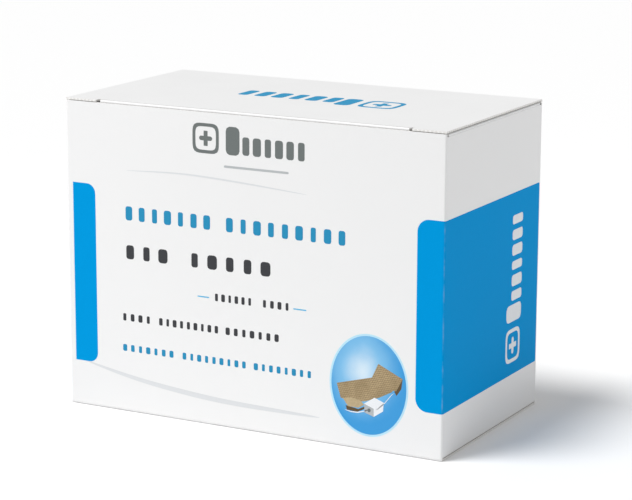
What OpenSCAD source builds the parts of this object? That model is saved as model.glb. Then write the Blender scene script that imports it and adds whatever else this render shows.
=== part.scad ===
// Pressure relief mattress kit in its retail carton: a tuck-top carton that holds the folded
// alternating-pressure air mattress, its air pump, hoses, mains cord and instructions.
// Frame: origin at the centre of the carton's base, +X to the right of the printed front,
// +Y from front to back, +Z up. Millimetres.

/* [Carton] */
// Width of the carton across its printed front
carton_w = 340; // [338:1:352]
// Depth of the carton from front to back
carton_d = 182; // [181:1:190]
// Height of the closed carton
carton_h = 256; // [254:1:266]
// Thickness of the corrugated board
board = 1.5; // [1.2:0.1:1.6]
// Length of the slit at each end of the lid's front fold
slit_len = 31; // [20:1:45]
// Length of the tuck flap
tuck_len = 32; // [27:1:34]
// Angle that the tuck flap leans inwards from upright
tuck_lean = 14; // [13:0.5:16]
// How far each dust flap reaches in under the lid
dust_len = 80; // [60:1:84]

/* [Mattress] */
// Thickness of the folded mattress, both lying and standing
fold_thick = 91; // [80:1:92]
// Height of the folded end that stands beside the pump
fold_h = 236; // [220:1:240]

/* [Pump] */
// Length of the pump casing
pump_l = 218; // [214:1:219]
// Width of the pump casing
pump_w = 112; // [110:1:113]
// Height of the pump casing
pump_h = 74; // [72:1:76]
// Thickness of the casing walls
case_wall = 2.5; // [2:0.1:2.8]
// Diameter of the pressure knob
knob_d = 36; // [30:1:40]

/* [Hoses and cord] */
// Outside diameter of each air hose
hose_d = 8.4; // [7:0.1:8.6]
// Outside diameter of the mains cord
cord_d = 6; // [5:0.1:6.5]

/* [Hidden] */
$fn = 64;
gap = 0.15;                        // clearance round each fold and between loose pieces
inner_w = carton_w - 2 * board;
inner_d = carton_d - 2 * board;
big = 600;                         // larger than the carton, for cutting

// Heights at the top of the carton: the lid lies on the dust flaps
lid_z = carton_h - board;          // underside of the lid, and its hinge line
lid_gap = 0.5;
dust_z = lid_z - lid_gap - board;  // underside of the dust flaps, and their hinge lines
front_top = lid_z - 0.5;
back_top = lid_z - 2.1;            // low enough for the lid to fold right back
lid_w = carton_w - 0.6;
lid_axis_y = inner_d / 2;
tuck_axis_y = -(inner_d / 2 - board - 0.3);
tuck_fold_w = carton_w - 2 * slit_len - 2;
tuck_w = inner_w - 10;
tuck_t = board - 0.04;             // the flap is pressed slightly thinner than its fold
tuck_shoulder = 3.6;               // the flap is wider than its fold from here down
dust_front = -83.6;                // front and back ends of a dust flap, inside the tuck flap
dust_back = inner_d / 2 - 3.5;
dust_taper = 0.62;                 // keeps a rising dust flap below the rising lid

// Heights inside the carton
floor_z = 2 * board + 0.35;
fold_top = floor_z + fold_thick;
tray_h = 57;
tray_z = fold_top + 0.3;
tray_top = tray_z + tray_h;
foot_h = 3;
content_front = -79;               // behind the tuck flap
content_back = inner_d / 2 - 3.5;

// Places along X: mattress, booklet, divider, tray, pump
side_x = -inner_w / 2 + 1.5;
fold_right = side_x + fold_thick;
booklet_t = 2;
divider_x = fold_right + booklet_t + 0.8;
tray_x = divider_x + board + 0.3;
tray_l = inner_w / 2 - 0.7 - tray_x;
pump_x = tray_x + 2.4 + pump_l / 2;
pump_y = content_back - 2 - pump_w / 2;
pump_z = tray_top + 0.2 + foot_h;
strip_y = (content_front + pump_y - pump_w / 2 - 1) / 2;  // middle of the strip in front of the pump

// Pump: heights from the underside of its casing
split_z = 26;                      // where the two halves of the casing meet
chassis_z = 10;
chassis_t = 1.5;
work_z = chassis_z + chassis_t;    // top of the chassis
boss_x = 92;
boss_y = 42;
knob_x = 48;
switch_x = -58;
lamp_y = 26;
outlet_z = work_z + 23.2;          // height of the air outlets
outlet_y = 10;
entry_z = 48;                      // height of the fuse and the cord grommet
grommet_x = -70;
fuse_x = 20;
panel_l = 176;
panel_w = 84;
panel_t = 0.6;
coil_z = 28;                       // centre height of the electromagnet
arm_y = 30;
arm_pivot_x = -52;
cup_x = -27;                       // centre of each diaphragm and its valve chamber
motor_x = knob_x;
hook_pin_x = 72;
hook_pin_y = 44;
hook_pin_z = 2.7;
hook_t = 4.4;
hook_arm = 50;
hook_w = 12;
hook_leg = 24;
hook_pocket = 5.2;
knob_h = 12;
screw_len = 34;

// Hoses lie in a flat coil in front of the pump, with the cord bundle on top
coil_r = 18;
coil_straight = 170;
coil_x = tray_x + 3.5 + hose_d / 2 + coil_r + coil_straight / 2;
hose_pitch = hose_d + 0.5;
hose_cut = 24;                     // both ends of a hose stop this far short of the coil's left end
hose_z = tray_top + 1.2 + hose_d / 2;
bundle_z = hose_z + 4 * hose_pitch + hose_d / 2 + 0.4;
bundle_h = 24;
bundle_t = 12;
bundle_r = 12;
bundle_straight = 96;
bundle_y = content_front + 1 + bundle_r + bundle_t / 2;
bundle_x = tray_x + 6 + bundle_r + bundle_t / 2 + bundle_straight / 2;
plug_x = bundle_x + bundle_straight / 2 + bundle_r + bundle_t / 2 + 8;

// ---------- shared shapes ----------

// Rectangle with true round corners
module round_rect(w, d, r) {
    square([w - 2 * r, d], center = true);
    square([w, d - 2 * r], center = true);
    for (sx = [-1, 1], sy = [-1, 1])
        translate([sx * (w / 2 - r), sy * (d / 2 - r)]) circle(r);
}

// Rod along X through the origin
module rod_x(r, len) {
    rotate([0, 90, 0]) cylinder(r = r, h = len, center = true);
}

// Rod along Y through the origin
module rod_y(r, len) {
    rotate([90, 0, 0]) cylinder(r = r, h = len, center = true);
}

// Rod from point a to point b
module rod_between(a, b, r) {
    d = b - a;
    len = norm(d);
    translate(a) rotate([0, acos(d[2] / len), atan2(d[1], d[0])]) cylinder(r = r, h = len);
}

// One quarter of a fold, outside the board's inner corner, along Y. side is 1 or -1
module fold_quarter_y(side, len) {
    intersection() {
        rod_y(board, len);
        translate([side * board / 2, 0, -board / 2]) cube([board, len, board], center = true);
    }
}

// The same along X
module fold_quarter_x(side, len) {
    rotate([0, 0, 90]) fold_quarter_y(side, len);
}

// Everything inside is drawn in the pump's own frame
module in_pump() {
    translate([pump_x, pump_y, pump_z]) children();
}

// ---------- carton ----------

module carton_sleeve() color("white") difference() {
    translate([0, 0, board + 0.05]) linear_extrude(front_top - board - 0.05)
        round_rect(carton_w, carton_d, board);
    cube([inner_w, inner_d, 2 * big], center = true);
    // back wall ends below the lid's fold
    translate([-big / 2, inner_d / 2 - 0.01, back_top]) cube([big, big, big]);
    for (side = [-1, 1]) {
        // side walls end in a groove under each dust flap's fold
        translate([side * carton_w / 2, 0, dust_z + big / 2])
            cube([2 * board, inner_d, big], center = true);
        translate([side * inner_w / 2, 0, dust_z]) rod_y(board + gap, inner_d);
        translate([side * carton_w / 2, 0, 0])
            cube([2 * board, inner_d, 2 * (2 * board + 0.1)], center = true);
    }
}

// Manufacturer's glued joint, inside the back wall
module glue_flap() color("white") {
    translate([-inner_w / 2 + 0.4, inner_d / 2 - board - 0.02, 10])
        cube([28, board, back_top - 18]);
}

// Outer bottom flap: side -1 is the front one
module bottom_outer(side) {
    flap_w = carton_w - 0.6;
    reach = inner_d / 2 - 0.2;
    translate([0, side * (inner_d / 2 - reach / 2), board / 2])
        cube([flap_w, reach, board], center = true);
    translate([0, side * inner_d / 2, board]) fold_quarter_x(side, flap_w);
}

module bottom_flap_front() color("white") bottom_outer(-1);
module bottom_flap_back() color("white") bottom_outer(1);

// Inner bottom flap: side -1 is the left one
module bottom_inner(side) {
    reach = dust_len + 5;
    translate([side * (inner_w / 2 - reach / 2), 0, board * 1.5 + 0.05])
        cube([reach, inner_d - 0.6, board], center = true);
    translate([side * inner_w / 2, 0, 2 * board + 0.05]) fold_quarter_y(side, inner_d - 0.6);
}

module bottom_flap_left() color("white") bottom_inner(-1);
module bottom_flap_right() color("white") bottom_inner(1);

// Lid: the ears at each end of its front edge lie over the front wall
module lid_panel() color("white") {
    notch = 2.4;
    ear_x = lid_w / 2 - (slit_len - notch) / 2;
    ear_y = -(carton_d / 2 - 0.3);
    difference() {
        union() {
            translate([-lid_w / 2, tuck_axis_y, lid_z])
                cube([lid_w, lid_axis_y - tuck_axis_y, board]);
            for (side = [-1, 1]) translate([side * ear_x, (ear_y + tuck_axis_y) / 2, lid_z + board / 2])
                cube([slit_len - notch, tuck_axis_y - ear_y + 0.02, board], center = true);
        }
        translate([0, tuck_axis_y, lid_z]) rod_x(board + gap, tuck_fold_w + 2 * gap);
        // small cut at the end of each slit
        for (side = [-1, 1])
            translate([side * (lid_w / 2 - slit_len + notch / 2), tuck_axis_y - 1, lid_z])
                cube([notch, 6, 3 * board], center = true);
    }
    translate([0, lid_axis_y, lid_z]) rod_x(board, lid_w);
}

// Tuck flap: its fold is shorter than the flap, so its shoulders lock under the lid's ears
module tuck_flap() color("white") {
    corner = 11;
    neck_w = tuck_fold_w - 0.2;
    translate([0, tuck_axis_y, lid_z]) {
        rod_x(board, tuck_fold_w);
        rotate([tuck_lean - 90, 0, 0]) translate([0, 0, -tuck_t]) linear_extrude(tuck_t) {
            translate([-neck_w / 2, 0.2]) square([neck_w, tuck_shoulder + 1]);
            translate([-tuck_w / 2, tuck_shoulder])
                square([tuck_w, tuck_len - corner - tuck_shoulder]);
            translate([-tuck_w / 2 + corner, tuck_shoulder])
                square([tuck_w - 2 * corner, tuck_len - tuck_shoulder]);
            for (side = [-1, 1])
                translate([side * (tuck_w / 2 - corner), tuck_len - corner]) circle(corner);
        }
    }
}

// Dust flap: side 1 is the right one. Its back edge tapers and its front edge has a shoulder
module dust_flap(side) {
    step = 9;
    translate([side * inner_w / 2, 0, dust_z]) {
        translate([0, (dust_front - 3.5 + dust_back - 0.5) / 2, 0])
            rod_y(board, dust_back - dust_front + 3);
        linear_extrude(board) polygon([
            [0, dust_front - 3.5],
            [-side * 1.5, dust_front - 3.5],
            [-side * 4, dust_front],
            [-side * (dust_len - step), dust_front],
            [-side * dust_len, dust_front + step],
            [-side * dust_len, dust_back - dust_taper * dust_len],
            [-side * 2, dust_back - 1],
            [0, dust_back - 1]]);
    }
}

module dust_flap_left() color("white") dust_flap(-1);
module dust_flap_right() color("white") dust_flap(1);

// ---------- board fitments ----------

module divider_panel() color("burlywood") {
    translate([divider_x, content_front, tray_z])
        cube([board, content_back - content_front, fold_h - 4 - tray_z]);
}

// Upturned tray that lifts the pump to the top, with a window below the pump's hooks
module pump_tray() color("burlywood") difference() {
    translate([tray_x, content_front, tray_z])
        cube([tray_l, content_back - content_front, tray_h]);
    translate([tray_x + board, content_front + board, tray_z - 1])
        cube([tray_l - 2 * board, content_back - content_front - 2 * board, tray_h + 1 - board]);
    translate([pump_x, pump_y + 31, tray_top])
        cube([2 * (hook_pin_x + 7), 46, 4 * board], center = true);
}

// ---------- mattress ----------

// The folded mattress lies under the tray and stands up at the left end
module air_mattress() color("tan") {
    r = 20;
    depth = content_back - content_front;
    length = inner_w - 3;
    translate([0, content_back, 0]) rotate([90, 0, 0]) linear_extrude(depth) {
        translate([side_x + length / 2, floor_z + fold_thick / 2]) round_rect(length, fold_thick, r);
        translate([side_x + fold_thick / 2, (floor_z + fold_h) / 2])
            round_rect(fold_thick, fold_h - floor_z, r);
    }
}

// Two inlet tubes with push-on connectors, lying across the top of the fold
module mattress_inlets() color("ivory") {
    for (i = [0, 1]) {
        x = side_x + 38 + i * 20;
        y = -30 + i * 22;
        translate([x, y, fold_h + 0.2]) cylinder(r = 3.6, h = 6);
        translate([x, y, fold_h + 6.2]) rotate([90, 0, 0]) sphere(3.7);
        translate([x, y + 17, fold_h + 6.2]) rod_y(3.6, 34);
        translate([x, y + 40, fold_h + 6.2]) rod_y(5, 16);
    }
}

module instruction_booklet() color("white") {
    translate([fold_right + 0.4, -52, fold_top + 0.4])
        cube([booklet_t, 105, 146]);
}

// ---------- hoses and cord ----------

// Half turn of hose at one end of the coil: side 1 is the right one
module hose_end(side, z) {
    translate([coil_x + side * coil_straight / 2, strip_y, z]) rotate([0, 0, side > 0 ? -90 : 90])
        rotate_extrude(angle = 180) translate([coil_r, 0]) circle(hose_d / 2);
}

// Slight swelling where a climbing run meets a half turn
module hose_bead(at) {
    translate(at) rotate([0, 90, 0]) sphere(hose_d / 2 + 0.12);
}

// Two turns of hose that start at height z: each turn climbs by one pitch along its back run
module air_hose(z) {
    left = coil_x - coil_straight / 2;
    right = coil_x + coil_straight / 2;
    front = strip_y - coil_r;
    back = strip_y + coil_r;
    cut = hose_cut / coil_straight;
    rod_between([left + hose_cut, front, z], [right, front, z], hose_d / 2);
    rod_between([left, front, z + hose_pitch], [right, front, z + hose_pitch], hose_d / 2);
    for (turn = [0, 1]) {
        low = z + turn * hose_pitch;
        hose_end(1, low);
        hose_bead([right, back, low]);
        rod_between([right, back, low],
            [left + turn * hose_cut, back, low + (1 - turn * cut) * hose_pitch], hose_d / 2);
    }
    hose_end(-1, z + hose_pitch);
    hose_bead([left, back, z + hose_pitch]);
}

module air_hose_a() color("gainsboro") air_hose(hose_z);
module air_hose_b() color("gainsboro") air_hose(hose_z + 2 * hose_pitch);

// Push-on connectors at the open ends of the hoses
module hose_connectors() color("white") {
    left = coil_x - coil_straight / 2;
    for (i = [0, 1]) {
        z = hose_z + 2 * i * hose_pitch;
        x = left + hose_cut - 7.5;
        translate([x, strip_y - coil_r, z]) rod_x(4.3, 13);
        translate([x, strip_y + coil_r, z + 1.9 * hose_pitch]) rod_x(4.2, 13);
    }
}

module hose_tie() color("dimgray") {
    h = 4 * hose_pitch;
    w = hose_d + 0.4;
    translate([coil_x + 30, strip_y - coil_r, hose_z + 1.5 * hose_pitch]) difference() {
        cube([6, w + 1.2, h + 1.2], center = true);
        cube([8, w, h], center = true);
    }
}

// Bundle of cord: the loops as one closed ring, with a tail to the pump and one to the plug
module power_cord() color("gainsboro") {
    translate([bundle_x, bundle_y, bundle_z]) linear_extrude(bundle_h) difference() {
        round_rect(bundle_straight + 2 * bundle_r + bundle_t, 2 * bundle_r + bundle_t,
            bundle_r + bundle_t / 2 - 0.1);
        round_rect(bundle_straight + 2 * bundle_r - bundle_t, 2 * bundle_r - bundle_t,
            bundle_r - bundle_t / 2 - 0.1);
    }
    z = pump_z + entry_z;
    tip = [pump_x + grommet_x, pump_y - pump_w / 2 - 11.3, z];
    rod_between([tip[0], bundle_y + bundle_r, z], tip, cord_d / 2);
    translate([plug_x - 6, bundle_y, bundle_z + 10]) rod_x(cord_d / 2, 16);
}

module cord_tie() color("dimgray") {
    w = 2 * bundle_r + bundle_t + 0.8;
    h = bundle_h + 1;
    translate([bundle_x + 12, bundle_y, bundle_z + bundle_h / 2]) difference() {
        cube([5, w, h], center = true);
        cube([7, w - 0.7, h - 0.7], center = true);
    }
}

// Flat two-pin plug
module mains_plug() color("gainsboro") {
    translate([plug_x + 2.2, bundle_y, bundle_z + 10]) {
        rotate([0, 90, 0]) cylinder(r1 = 4.5, r2 = 6.5, h = 8);
        translate([8, 0, 0]) rotate([90, 0, 90]) linear_extrude(24) round_rect(27, 13.7, 6.5);
    }
}

module plug_pins() color("gold") {
    for (side = [-1, 1])
        translate([plug_x + 34.3, bundle_y + side * 9.5, bundle_z + 10])
            rotate([0, 90, 0]) cylinder(r = 2, h = 19);
}

// Spare patches for the mattress, on the folded mattress under the tray
module repair_patches() color("tan") {
    for (i = [0:2])
        translate([pump_x - 60 + 9 * i, -46 + 3 * i, fold_top + 0.4 + 0.7 * i])
            cylinder(r = 20, h = 0.6);
}

// ---------- pump casing ----------

// Casing block with round edges, drawn inset by a wall thickness
module pump_form(inset) {
    l = pump_l - 2 * inset;
    w = pump_w - 2 * inset;
    h = pump_h - 2 * inset;
    intersection() {
        translate([0, 0, inset]) linear_extrude(h) round_rect(l, w, 18 - inset);
        translate([0, 0, pump_h / 2]) rotate([90, 0, 0]) linear_extrude(w, center = true)
            round_rect(l, h, 10 - inset);
        translate([0, 0, pump_h / 2]) rotate([90, 0, 90]) linear_extrude(l, center = true)
            round_rect(w, h, 10 - inset);
    }
}

module at_bosses() {
    for (sx = [-1, 1], sy = [-1, 1]) translate([sx * boss_x, sy * boss_y, 0]) children();
}

module pump_front_case() color("whitesmoke") in_pump() difference() {
    union() {
        difference() {
            pump_form(0);
            pump_form(case_wall);
        }
        at_bosses() translate([0, 0, split_z + 0.2]) cylinder(r = 4, h = pump_h - split_z - 2);
    }
    translate([0, 0, split_z + 0.2 - big / 2]) cube([big, big, big], center = true);
    at_bosses() translate([0, 0, split_z - 1]) cylinder(r = 1.55, h = 20);
    translate([0, 0, pump_h - panel_t]) linear_extrude(2) round_rect(panel_l, panel_w, 8);
    translate([knob_x, 0, pump_h - 6]) cylinder(r = 4, h = 10);
    translate([switch_x, 0, pump_h]) cube([27, 13, 12], center = true);
    translate([switch_x, lamp_y, pump_h - 6]) cylinder(r = 2.6, h = 10);
    for (side = [-1, 1])
        translate([pump_l / 2, side * outlet_y, outlet_z]) rod_x(3.7, 12);
    translate([grommet_x, -pump_w / 2, entry_z]) rod_y(5.1, 12);
    translate([fuse_x, -pump_w / 2, entry_z]) rod_y(6.1, 12);
}

// Hollow in the casing's back for one hook: side 1 is the right one
module hook_pocket_shape(side, grow, h) {
    arm = hook_arm + 5 + 2 * grow;
    x = hook_pin_x + 3.4 + grow;
    translate([side * (x - arm / 2), hook_pin_y, h / 2])
        cube([arm, hook_w + 1.4 + 2 * grow, h], center = true);
    translate([side * (hook_pin_x - hook_arm + 6), hook_pin_y - hook_leg / 2 - 1, h / 2])
        cube([14 + 2 * grow, hook_leg + hook_w + 2 * grow, h], center = true);
}

module pump_back_case() color("whitesmoke") in_pump() difference() {
    intersection() {
        translate([0, 0, split_z - big / 2]) cube([big, big, big], center = true);
        union() {
            difference() {
                pump_form(0);
                pump_form(case_wall);
            }
            intersection() {
                pump_form(0.5);
                for (side = [-1, 1]) hook_pocket_shape(side, 2.5, hook_pocket + 2);
            }
            at_bosses() translate([0, 0, 1]) cylinder(r = 4, h = split_z - 1);
        }
    }
    for (side = [-1, 1]) {
        translate([0, 0, -1]) hook_pocket_shape(side, 0, hook_pocket + 1);
        translate([side * hook_pin_x, hook_pin_y, hook_pin_z]) rod_y(1.53, hook_w + 5);
    }
    at_bosses() {
        translate([0, 0, -1]) cylinder(r = 1.75, h = split_z + 2);
        translate([0, 0, -1]) cylinder(r = 3.5, h = 5);
    }
}

// Printed front sheet, let into the face of the casing
module control_panel() color("lightsteelblue") in_pump() difference() {
    translate([0, 0, pump_h - panel_t + 0.02]) linear_extrude(panel_t)
        round_rect(panel_l - 0.4, panel_w - 0.4, 7.8);
    translate([knob_x, 0, pump_h - 2]) cylinder(r = 5, h = 10);
    translate([switch_x, 0, pump_h]) cube([27.4, 13.4, 12], center = true);
    translate([switch_x, lamp_y, pump_h - 6]) cylinder(r = 2.6, h = 10);
}

module pressure_knob() color("white") in_pump() translate([knob_x, 0, pump_h + 0.6]) {
    grips = 20;
    difference() {
        union() {
            cylinder(r = knob_d / 2, h = 3);
            cylinder(r = knob_d / 2 - 2.5, h = knob_h);
        }
        for (i = [0:grips - 1]) rotate([0, 0, i * 360 / grips])
            translate([knob_d / 2 - 2, 0, 3]) cylinder(r = 1.4, h = knob_h, $fn = 24);
        translate([0, 0, -1]) cylinder(r = 3.02, h = 9);
    }
    translate([-1, 2, knob_h - 0.2]) cube([2, knob_d / 2 - 6.5, 1]);
}

module knob_shaft() color("silver") in_pump() {
    translate([knob_x, 0, pump_h - 12]) cylinder(r = 3, h = 20);
}

// Bleed valve that the knob turns, fixed under the casing's face
module pressure_valve() color("gray") in_pump() translate([knob_x, 0, 0]) {
    difference() {
        translate([0, 0, pump_h - 19]) cylinder(r = 9, h = 16.2);
        translate([0, 0, pump_h - 12.3]) cylinder(r = 3.05, h = 20);
    }
    translate([-12, 0, pump_h - 14]) rod_x(2, 8);
}

module switch_bezel() color("dimgray") in_pump() translate([switch_x, 0, pump_h]) {
    difference() {
        union() {
            translate([0, 0, 0.1]) linear_extrude(1.6) round_rect(32, 17, 2.5);
            translate([0, 0, -2.6]) cube([26.6, 12.6, 5.4], center = true);
        }
        cube([24.4, 10.6, 20], center = true);
        translate([0, 0, -1]) rod_y(1.3, 12.3);
    }
}

// Rocker on its two trunnions, drawn in its off position
module switch_rocker() color("green") in_pump() translate([switch_x, 0, pump_h - 1]) {
    rod_y(1.2, 12);
    rotate([0, -7, 0]) rotate([90, 0, 0]) linear_extrude(10.2, center = true)
        polygon([[-11, 4.4], [0, 2.2], [11, 4.4], [11, -1], [6, -3.2], [-6, -3.2], [-11, -1]]);
}

module switch_body() color("dimgray") in_pump() {
    translate([switch_x, 0, pump_h - 14.5]) cube([24, 12, 16], center = true);
    for (x = [-7, 0, 7])
        translate([switch_x + x, 0, pump_h - 25.3]) cube([1, 6, 5], center = true);
}

module power_lamp() color("lime") in_pump() translate([switch_x, lamp_y, 0]) {
    translate([0, 0, pump_h - 6]) cylinder(r = 2.5, h = 6);
    translate([0, 0, pump_h - 9]) cylinder(r = 3.4, h = 6 - case_wall - 0.2);
}

// Two barbed outlets through the end wall
module air_outlets() color("ivory") in_pump() for (side = [-1, 1])
    translate([pump_l / 2, side * outlet_y, outlet_z]) rotate([0, 90, 0]) difference() {
        union() {
            translate([0, 0, -11]) cylinder(r = 2.2, h = 8);
            translate([0, 0, -3]) cylinder(r = 3.2, h = 15);
            translate([0, 0, 0.1]) cylinder(r = 6, h = 2);
            for (i = [0:2]) translate([0, 0, 4.4 + 2.6 * i]) cylinder(r1 = 4, r2 = 3.2, h = 2.4);
        }
        translate([0, 0, -12]) cylinder(r = 1.4, h = 30);
    }

module cord_grommet() color("dimgray") in_pump() translate([grommet_x, -pump_w / 2, entry_z])
    rotate([90, 0, 0]) difference() {
        union() {
            translate([0, 0, -6]) cylinder(r = 5, h = 7);
            translate([0, 0, 0.1]) cylinder(r = 7, h = 2);
            translate([0, 0, 2]) cylinder(r1 = 5.4, r2 = 4.2, h = 9);
        }
        translate([0, 0, -7]) cylinder(r = cord_d / 2 + 0.1, h = 30);
    }

module fuse_holder() color("dimgray") in_pump() translate([fuse_x, -pump_w / 2, entry_z])
    rotate([90, 0, 0]) difference() {
        union() {
            translate([0, 0, -24]) cylinder(r = 6, h = 25);
            translate([0, 0, 0.1]) cylinder(r = 8, h = 1.6);
        }
        translate([0, 0, -21]) cylinder(r = 4, h = 30);
    }

module fuse_cap() color("black") in_pump() translate([fuse_x, -pump_w / 2, entry_z])
    rotate([90, 0, 0]) difference() {
        union() {
            translate([0, 0, -16]) cylinder(r = 3.9, h = 18);
            translate([0, 0, 1.8]) cylinder(r = 6.6, h = 3.4);
        }
        translate([0, 0, 5]) cube([8, 1.2, 2], center = true);
    }

// Hook folded into the casing's back: side 1 is the right one
module hook(side) {
    difference() {
        union() {
            rod_y(hook_t / 2, hook_w);
            translate([-side * hook_arm / 2, 0, 0]) cube([hook_arm, hook_w, hook_t], center = true);
            translate([-side * (hook_arm - 6), -hook_leg / 2, 0])
                cube([12, hook_leg + hook_w, hook_t], center = true);
        }
        rod_y(1.56, hook_w + 2);
    }
}

module at_hook(side) {
    in_pump() translate([side * hook_pin_x, hook_pin_y, hook_pin_z]) children();
}

module hook_left() color("silver") at_hook(-1) hook(-1);
module hook_right() color("silver") at_hook(1) hook(1);
module hook_pins() color("silver") for (side = [-1, 1]) at_hook(side) rod_y(1.5, hook_w + 4.6);

module pump_feet() color("dimgray") in_pump() for (sx = [-1, 1], sy = [-1, 1])
    translate([sx * 90, sy * 22, -foot_h]) cylinder(r1 = 4.4, r2 = 5, h = foot_h - 0.05);

module case_screws() color("silver") in_pump() at_bosses() difference() {
    union() {
        translate([0, 0, 1.4]) cylinder(r = 3.1, h = 2.4);
        translate([0, 0, 1.4]) cylinder(r = 1.5, h = screw_len);
    }
    translate([0, 0, 1.4]) cube([4.2, 0.9, 1.6], center = true);
    translate([0, 0, 1.4]) cube([0.9, 4.2, 1.6], center = true);
}

// ---------- pump works ----------

module chassis_plate() color("silver") in_pump() translate([0, 0, chassis_z]) difference() {
    linear_extrude(chassis_t) {
        round_rect(178, 68, 4);
        round_rect(120, 100, 4);
    }
    for (sx = [-1, 1], sy = [-1, 1]) translate([sx * 84, sy * 24, -1]) cylinder(r = 2.2, h = 5);
}

module chassis_mounts() color("dimgray") in_pump() for (sx = [-1, 1], sy = [-1, 1])
    translate([sx * 84, sy * 24, case_wall + 0.05]) {
        cylinder(r = 5, h = chassis_z - case_wall - 0.1);
        cylinder(r = 2.1, h = chassis_z - case_wall + chassis_t + 1.5);
    }

module magnet_core() color("slategray") in_pump() translate([0, 0, coil_z]) {
    cube([12, 40, 12], center = true);
    for (side = [-1, 1]) translate([0, side * 21.5, 0]) cube([18, 3, 20], center = true);
}

module magnet_coil() color("peru") in_pump() translate([0, 0, coil_z])
    rotate([90, 0, 0]) difference() {
        union() {
            linear_extrude(30, center = true) round_rect(26, 26, 5);
            for (side = [-1, 1]) translate([0, 0, side * 15]) linear_extrude(2, center = true)
                round_rect(31, 31, 3);
        }
        cube([12.4, 12.4, 60], center = true);
    }

// Swinging arm with a magnet at its free end: side 1 is the back one
module armature(side) in_pump() translate([0, side * arm_y, coil_z]) {
    difference() {
        union() {
            translate([(arm_pivot_x + 8) / 2, 0, 0]) cube([8 - arm_pivot_x, 2, 14], center = true);
            translate([arm_pivot_x, 0, 0]) cylinder(r = 4, h = 14, center = true);
        }
        translate([arm_pivot_x, 0, 0]) cylinder(r = 1.65, h = 20, center = true);
    }
    translate([0, -side * 2.7, 0]) cube([14, 3.4, 16], center = true);
}

module armature_left() color("silver") armature(-1);
module armature_right() color("silver") armature(1);

module armature_pins() color("silver") in_pump() for (side = [-1, 1])
    translate([arm_pivot_x, side * arm_y, work_z + 0.02]) {
        cylinder(r = 1.6, h = coil_z + 9 - work_z);
        cylinder(r = 4, h = coil_z - 7.4 - work_z);
    }

// Ribbed rubber cups that the arms push
module diaphragms() color("darkslategray") in_pump() for (side = [-1, 1])
    translate([cup_x, side * 32.4, coil_z]) rotate([-side * 90, 0, 0]) {
        for (i = [0:2]) translate([0, 0, 2.8 * i]) cylinder(r1 = 9 + i, r2 = 10 + i, h = 1.8);
        cylinder(r = 8.5, h = 8.4);
    }

module valve_chambers() color("ivory") in_pump() for (side = [-1, 1]) {
    translate([cup_x, side * 45.6, coil_z]) cube([30, 9, 30], center = true);
    translate([cup_x, side * 45.6, coil_z + 15]) cylinder(r = 2.4, h = 7);
}

module distributor_motor() color("silver") in_pump() translate([motor_x, 0, work_z + 0.1]) {
    cylinder(r = 22, h = 15);
    for (side = [-1, 1]) translate([0, side * 24, 0.6]) cube([10, 10, 1.2], center = true);
}

module distributor_rotor() color("white") in_pump() translate([motor_x, 0, work_z + 15.3]) {
    cylinder(r = 2, h = 4);
    difference() {
        translate([0, 0, 3]) cylinder(r = 14, h = 4);
        for (i = [-1, 1]) translate([i * 8, 0, 2]) cylinder(r = 2.4, h = 8);
    }
}

module distributor_cap() color("ivory") in_pump() translate([motor_x, 0, work_z + 15.2]) {
    difference() {
        cylinder(r = 17, h = 13);
        translate([0, 0, -1]) cylinder(r = 14.4, h = 11);
    }
    for (side = [-1, 1]) translate([18, side * outlet_y, outlet_z - work_z - 15.2]) rod_x(2.2, 9);
}

// Tubes from the distributor to the outlets, pushed over both stubs
module air_tubes() color("lightcyan") in_pump() for (side = [-1, 1]) {
    start = motor_x + 17.2;
    translate([start, side * outlet_y, outlet_z]) rotate([0, 90, 0]) difference() {
        cylinder(r = 3.4, h = pump_l / 2 - 3.4 - start);
        translate([0, 0, -1]) cylinder(r = 2.25, h = 60);
    }
}

module circuit_board() color("darkgreen") in_pump() translate([-73, 0, work_z]) {
    translate([0, 0, 5.8]) cube([24, 60, 1.6], center = true);
    for (sy = [-1, 1]) translate([0, sy * 26, 0.02]) cylinder(r = 2.5, h = 4.9);
}

module board_parts() color("steelblue") in_pump() translate([-73, 0, work_z + 6.7]) {
    translate([-4, 14, 0]) cylinder(r = 5, h = 14);
    translate([2, -16, 5]) cube([12, 20, 10], center = true);
    translate([4, 0, 3]) rod_y(2, 6);
}

carton_sleeve();
glue_flap();
bottom_flap_front();
bottom_flap_back();
bottom_flap_left();
bottom_flap_right();
lid_panel();
tuck_flap();
dust_flap_left();
dust_flap_right();
divider_panel();
pump_tray();
air_mattress();
mattress_inlets();
instruction_booklet();
air_hose_a();
air_hose_b();
hose_connectors();
hose_tie();
power_cord();
cord_tie();
mains_plug();
plug_pins();
repair_patches();
pump_front_case();
pump_back_case();
control_panel();
pressure_knob();
knob_shaft();
pressure_valve();
switch_bezel();
switch_rocker();
switch_body();
power_lamp();
air_outlets();
cord_grommet();
fuse_holder();
fuse_cap();
hook_left();
hook_right();
hook_pins();
pump_feet();
case_screws();
chassis_plate();
chassis_mounts();
magnet_core();
magnet_coil();
armature_left();
armature_right();
armature_pins();
diaphragms();
valve_chambers();
distributor_motor();
distributor_rotor();
distributor_cap();
air_tubes();
circuit_board();
board_parts();
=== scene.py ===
import bpy, bmesh, math
import numpy as np
from mathutils import Vector, Matrix, noise


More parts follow.
